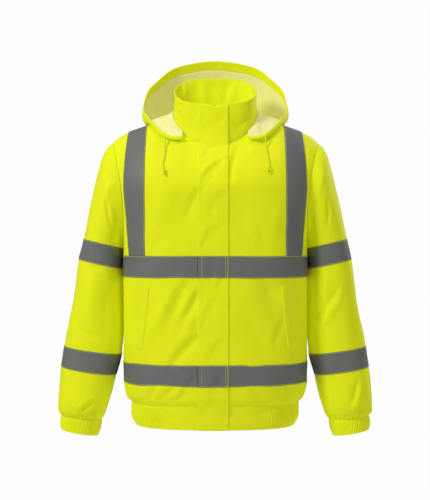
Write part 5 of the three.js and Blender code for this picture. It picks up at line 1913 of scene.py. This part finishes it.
@dataclass
class Drawcords(SubAssembly):
    """The two hood drawcords, each with an overhand knot at its free end."""

    ROUTES = {
        Side.RIGHT: [(-117.5, -93.5, -64), (-117.5, -96.5, -76), (-117, -101.5, -90), (-117.5, -115, -108),
                     (-121, -126.5, -128), (-118, -137.5, -143)],
        Side.LEFT: [(117, -93.5, -62), (117, -96, -74), (117.5, -99.5, -86), (119.5, -111.6, -103),
                    (123.5, -124, -124), (123, -134, -137)],
    }

    radius: float = 1.75
    sides: int = 16
    route_steps: int = 8
    knot_radius: float = 2.65
    knot_length: float = 11.0
    knot_gap: float = 0.35
    knot_samples: int = 60
    knot_tightness: float = 0.93
    tail: float = 3.4
    tail_spread: float = 1.15

    def _route(self, side: Side) -> Array:
        """The cord's centreline, smooth through its points."""
        points = np.array(self.ROUTES[side], float)
        ends = np.vstack([2 * points[0] - points[1], points, 2 * points[-1] - points[-2]])
        t = np.linspace(0, 1, self.route_steps + 1)[:-1, None]
        pieces = [hermite(b, (c - a) / 2, c, (d - b) / 2, t)
                  for a, b, c, d in zip(ends, ends[1:], ends[2:], ends[3:])]
        return np.concatenate([*pieces, points[-1:]])

    def _knot(self, end: Array, along: Array) -> Array:
        """The knot's centreline: a loop through itself, then a short tail."""
        side = unit(np.cross(along, (0.2, 1.0, 0.1)))
        up, half = np.cross(along, side), self.knot_length / 2
        t = np.linspace(self.knot_gap, 2 * math.pi - self.knot_gap, self.knot_samples)
        x = (np.sin(t) + 2 * np.sin(2 * t)) * self.knot_radius / 3
        y = (np.cos(t) - 2 * np.cos(2 * t)) * self.knot_radius / 3
        z = half - np.cos(t / 2) * half - np.sin(3 * t) * 0.9 + 0.6
        loop = end + x[:, None] * side + y[:, None] * up + z[:, None] * along
        first = end + along * np.linspace(-1.5, 0, 3)[:, None]
        tail = end + along * (self.knot_length + np.linspace(1.2, self.tail, 4))[:, None]
        path = np.concatenate([first, loop, tail])
        for _ in range(3):
            path[1:-1] = (path[:-2] + 2 * path[1:-1] + path[2:]) / 4
        return path

    def build(self) -> None:
        for side in Side:
            route = self._route(side)
            cord = mesh_object(f"drawcord_{side.word}_braid", tube_parts(route, self.radius, self.sides))
            self.dress(cord, self.wardrobe.cord, f"drawcord_{side.word}")
            path = self._knot(route[-1], unit(route[-1] - route[-2]))
            radius = np.full(len(path), self.radius * self.knot_tightness)
            radius[-2:] = self.radius * self.tail_spread
            knot = mesh_object(f"drawcord_knot_{side.word}_braid", tube_parts(path, radius, self.sides))
            self.dress(knot, self.wardrobe.cord, f"drawcord_knot_{side.word}")


@dataclass
class Stitching(SubAssembly):
    """The thread of all seams."""

    pitch: float = 0.0036
    length: float = 0.003
    thick: float = 0.0009

    def build(self) -> None:
        """Sews every group of lines."""
        thread = self.wardrobe.thread
        tree = StitchTree("stitches", thread.material)
        for group, lines in sorted(self.sewing.lines.items()):
            sewn = tree.along(f"stitches_{group}", lines, pitch=self.pitch, length=self.length,
                              width=self.thick, height=self.thick)
            self.dress(sewn, thread)


class Lamp(NamedTuple):
    """A square area light: its name, place and size in metres, and its power in watts."""

    name: str
    place: tuple[float, float, float]
    size: float
    power: float


@dataclass
class Studio:
    """Camera, light and floor of a white product photo, in metres."""

    LAMPS = (Lamp("key", (-2.3, -1.9, 1.5), 0.7, 61), Lamp("fill", (2.3, -2.4, 0.3), 1.6, 12),
             Lamp("top", (0.1, -0.5, 2.4), 1.0, 14), Lamp("back", (2.1, 2.1, 1.1), 0.9, 36))
    FLOOR = GrainedFinish("studio_floor", (0.93, 0.93, 0.92), (0.9, 0.9, 0.89), 0.75, 3.0, 4.0, 0.5)

    distance: float = 3.0
    height: float = -0.327
    shift: float = -0.0007
    lens: float = 89.8
    seen_white: float = 0.985
    surround: float = 0.315
    aim_height: float = -0.3
    floor_height: float = -1.45
    floor_radius: float = 2.25
    floor_sides: int = 96

    def camera(self) -> None:
        """Sets up the photo's camera."""
        data = bpy.data.cameras.new("camera")
        data.lens, data.sensor_width = self.lens, 36
        data.clip_start, data.clip_end = 0.05, 60
        camera = linked(bpy.data.objects.new("camera", data))
        camera.location = (self.shift, -self.distance, self.height)
        camera.rotation_euler = (math.pi / 2, 0, 0)
        bpy.context.scene.camera = camera

    def light(self) -> None:
        """Sets up soft lights and a white surround."""
        scene = bpy.context.scene
        scene.view_settings.view_transform = "Standard"
        scene.view_settings.look = "None"
        scene.world = bpy.data.worlds.new("studio")
        scene.world.use_nodes = True
        graph = NodeGraph(scene.world.node_tree)
        graph.tree.nodes.clear()
        seen = graph.node("ShaderNodeBackground", {0: (self.seen_white,) * 3 + (1,)})
        lit = graph.node("ShaderNodeBackground", {0: (1, 1, 1, 1), 1: self.surround})
        ray = graph.node("ShaderNodeLightPath").outputs["Is Camera Ray"]
        mix = graph.node("ShaderNodeMixShader", {0: ray, 1: lit.outputs[0], 2: seen.outputs[0]})
        graph.node("ShaderNodeOutputWorld", {0: mix.outputs[0]})
        for lamp in self.LAMPS:
            data = bpy.data.lights.new(lamp.name, "AREA")
            data.size, data.energy = lamp.size, lamp.power
            light = linked(bpy.data.objects.new(lamp.name, data))
            light.location = lamp.place
            aim = Vector((0, 0, self.aim_height)) - Vector(lamp.place)
            light.rotation_euler = aim.to_track_quat("-Z", "Y").to_euler()

    def floor(self) -> None:
        """Lays a round, pale floor below the jacket."""
        turn = np.linspace(0, 2 * math.pi, self.floor_sides, endpoint=False)
        rim = points_of(self.floor_radius * np.cos(turn), self.floor_radius * np.sin(turn), self.floor_height)
        mesh = bpy.data.meshes.new("floor")
        mesh.from_pydata(rim.tolist(), [], [list(range(self.floor_sides))])
        mesh.materials.append(self.FLOOR.material())
        linked(bpy.data.objects.new("floor", mesh))


def main() -> None:
    """Builds the jacket in order, then the studio round it."""
    studio = Studio()
    studio.camera()
    shared = JacketForm(), Wardrobe(), Sewing()
    panels, band, collar = BodyPanels(*shared), Waistband(*shared), Collar(*shared)
    for assembly in (Drawcords(*shared), panels, Sleeves(*shared), band, collar,
                     FrontClosure(*shared, panels=panels, band=band, collar=collar), Hood(*shared),
                     Stitching(*shared)):
        assembly.build()
    studio.light()
    studio.floor()


if __name__ == "__main__":
    logging.basicConfig(level=logging.INFO, format="%(message)s")
    main()
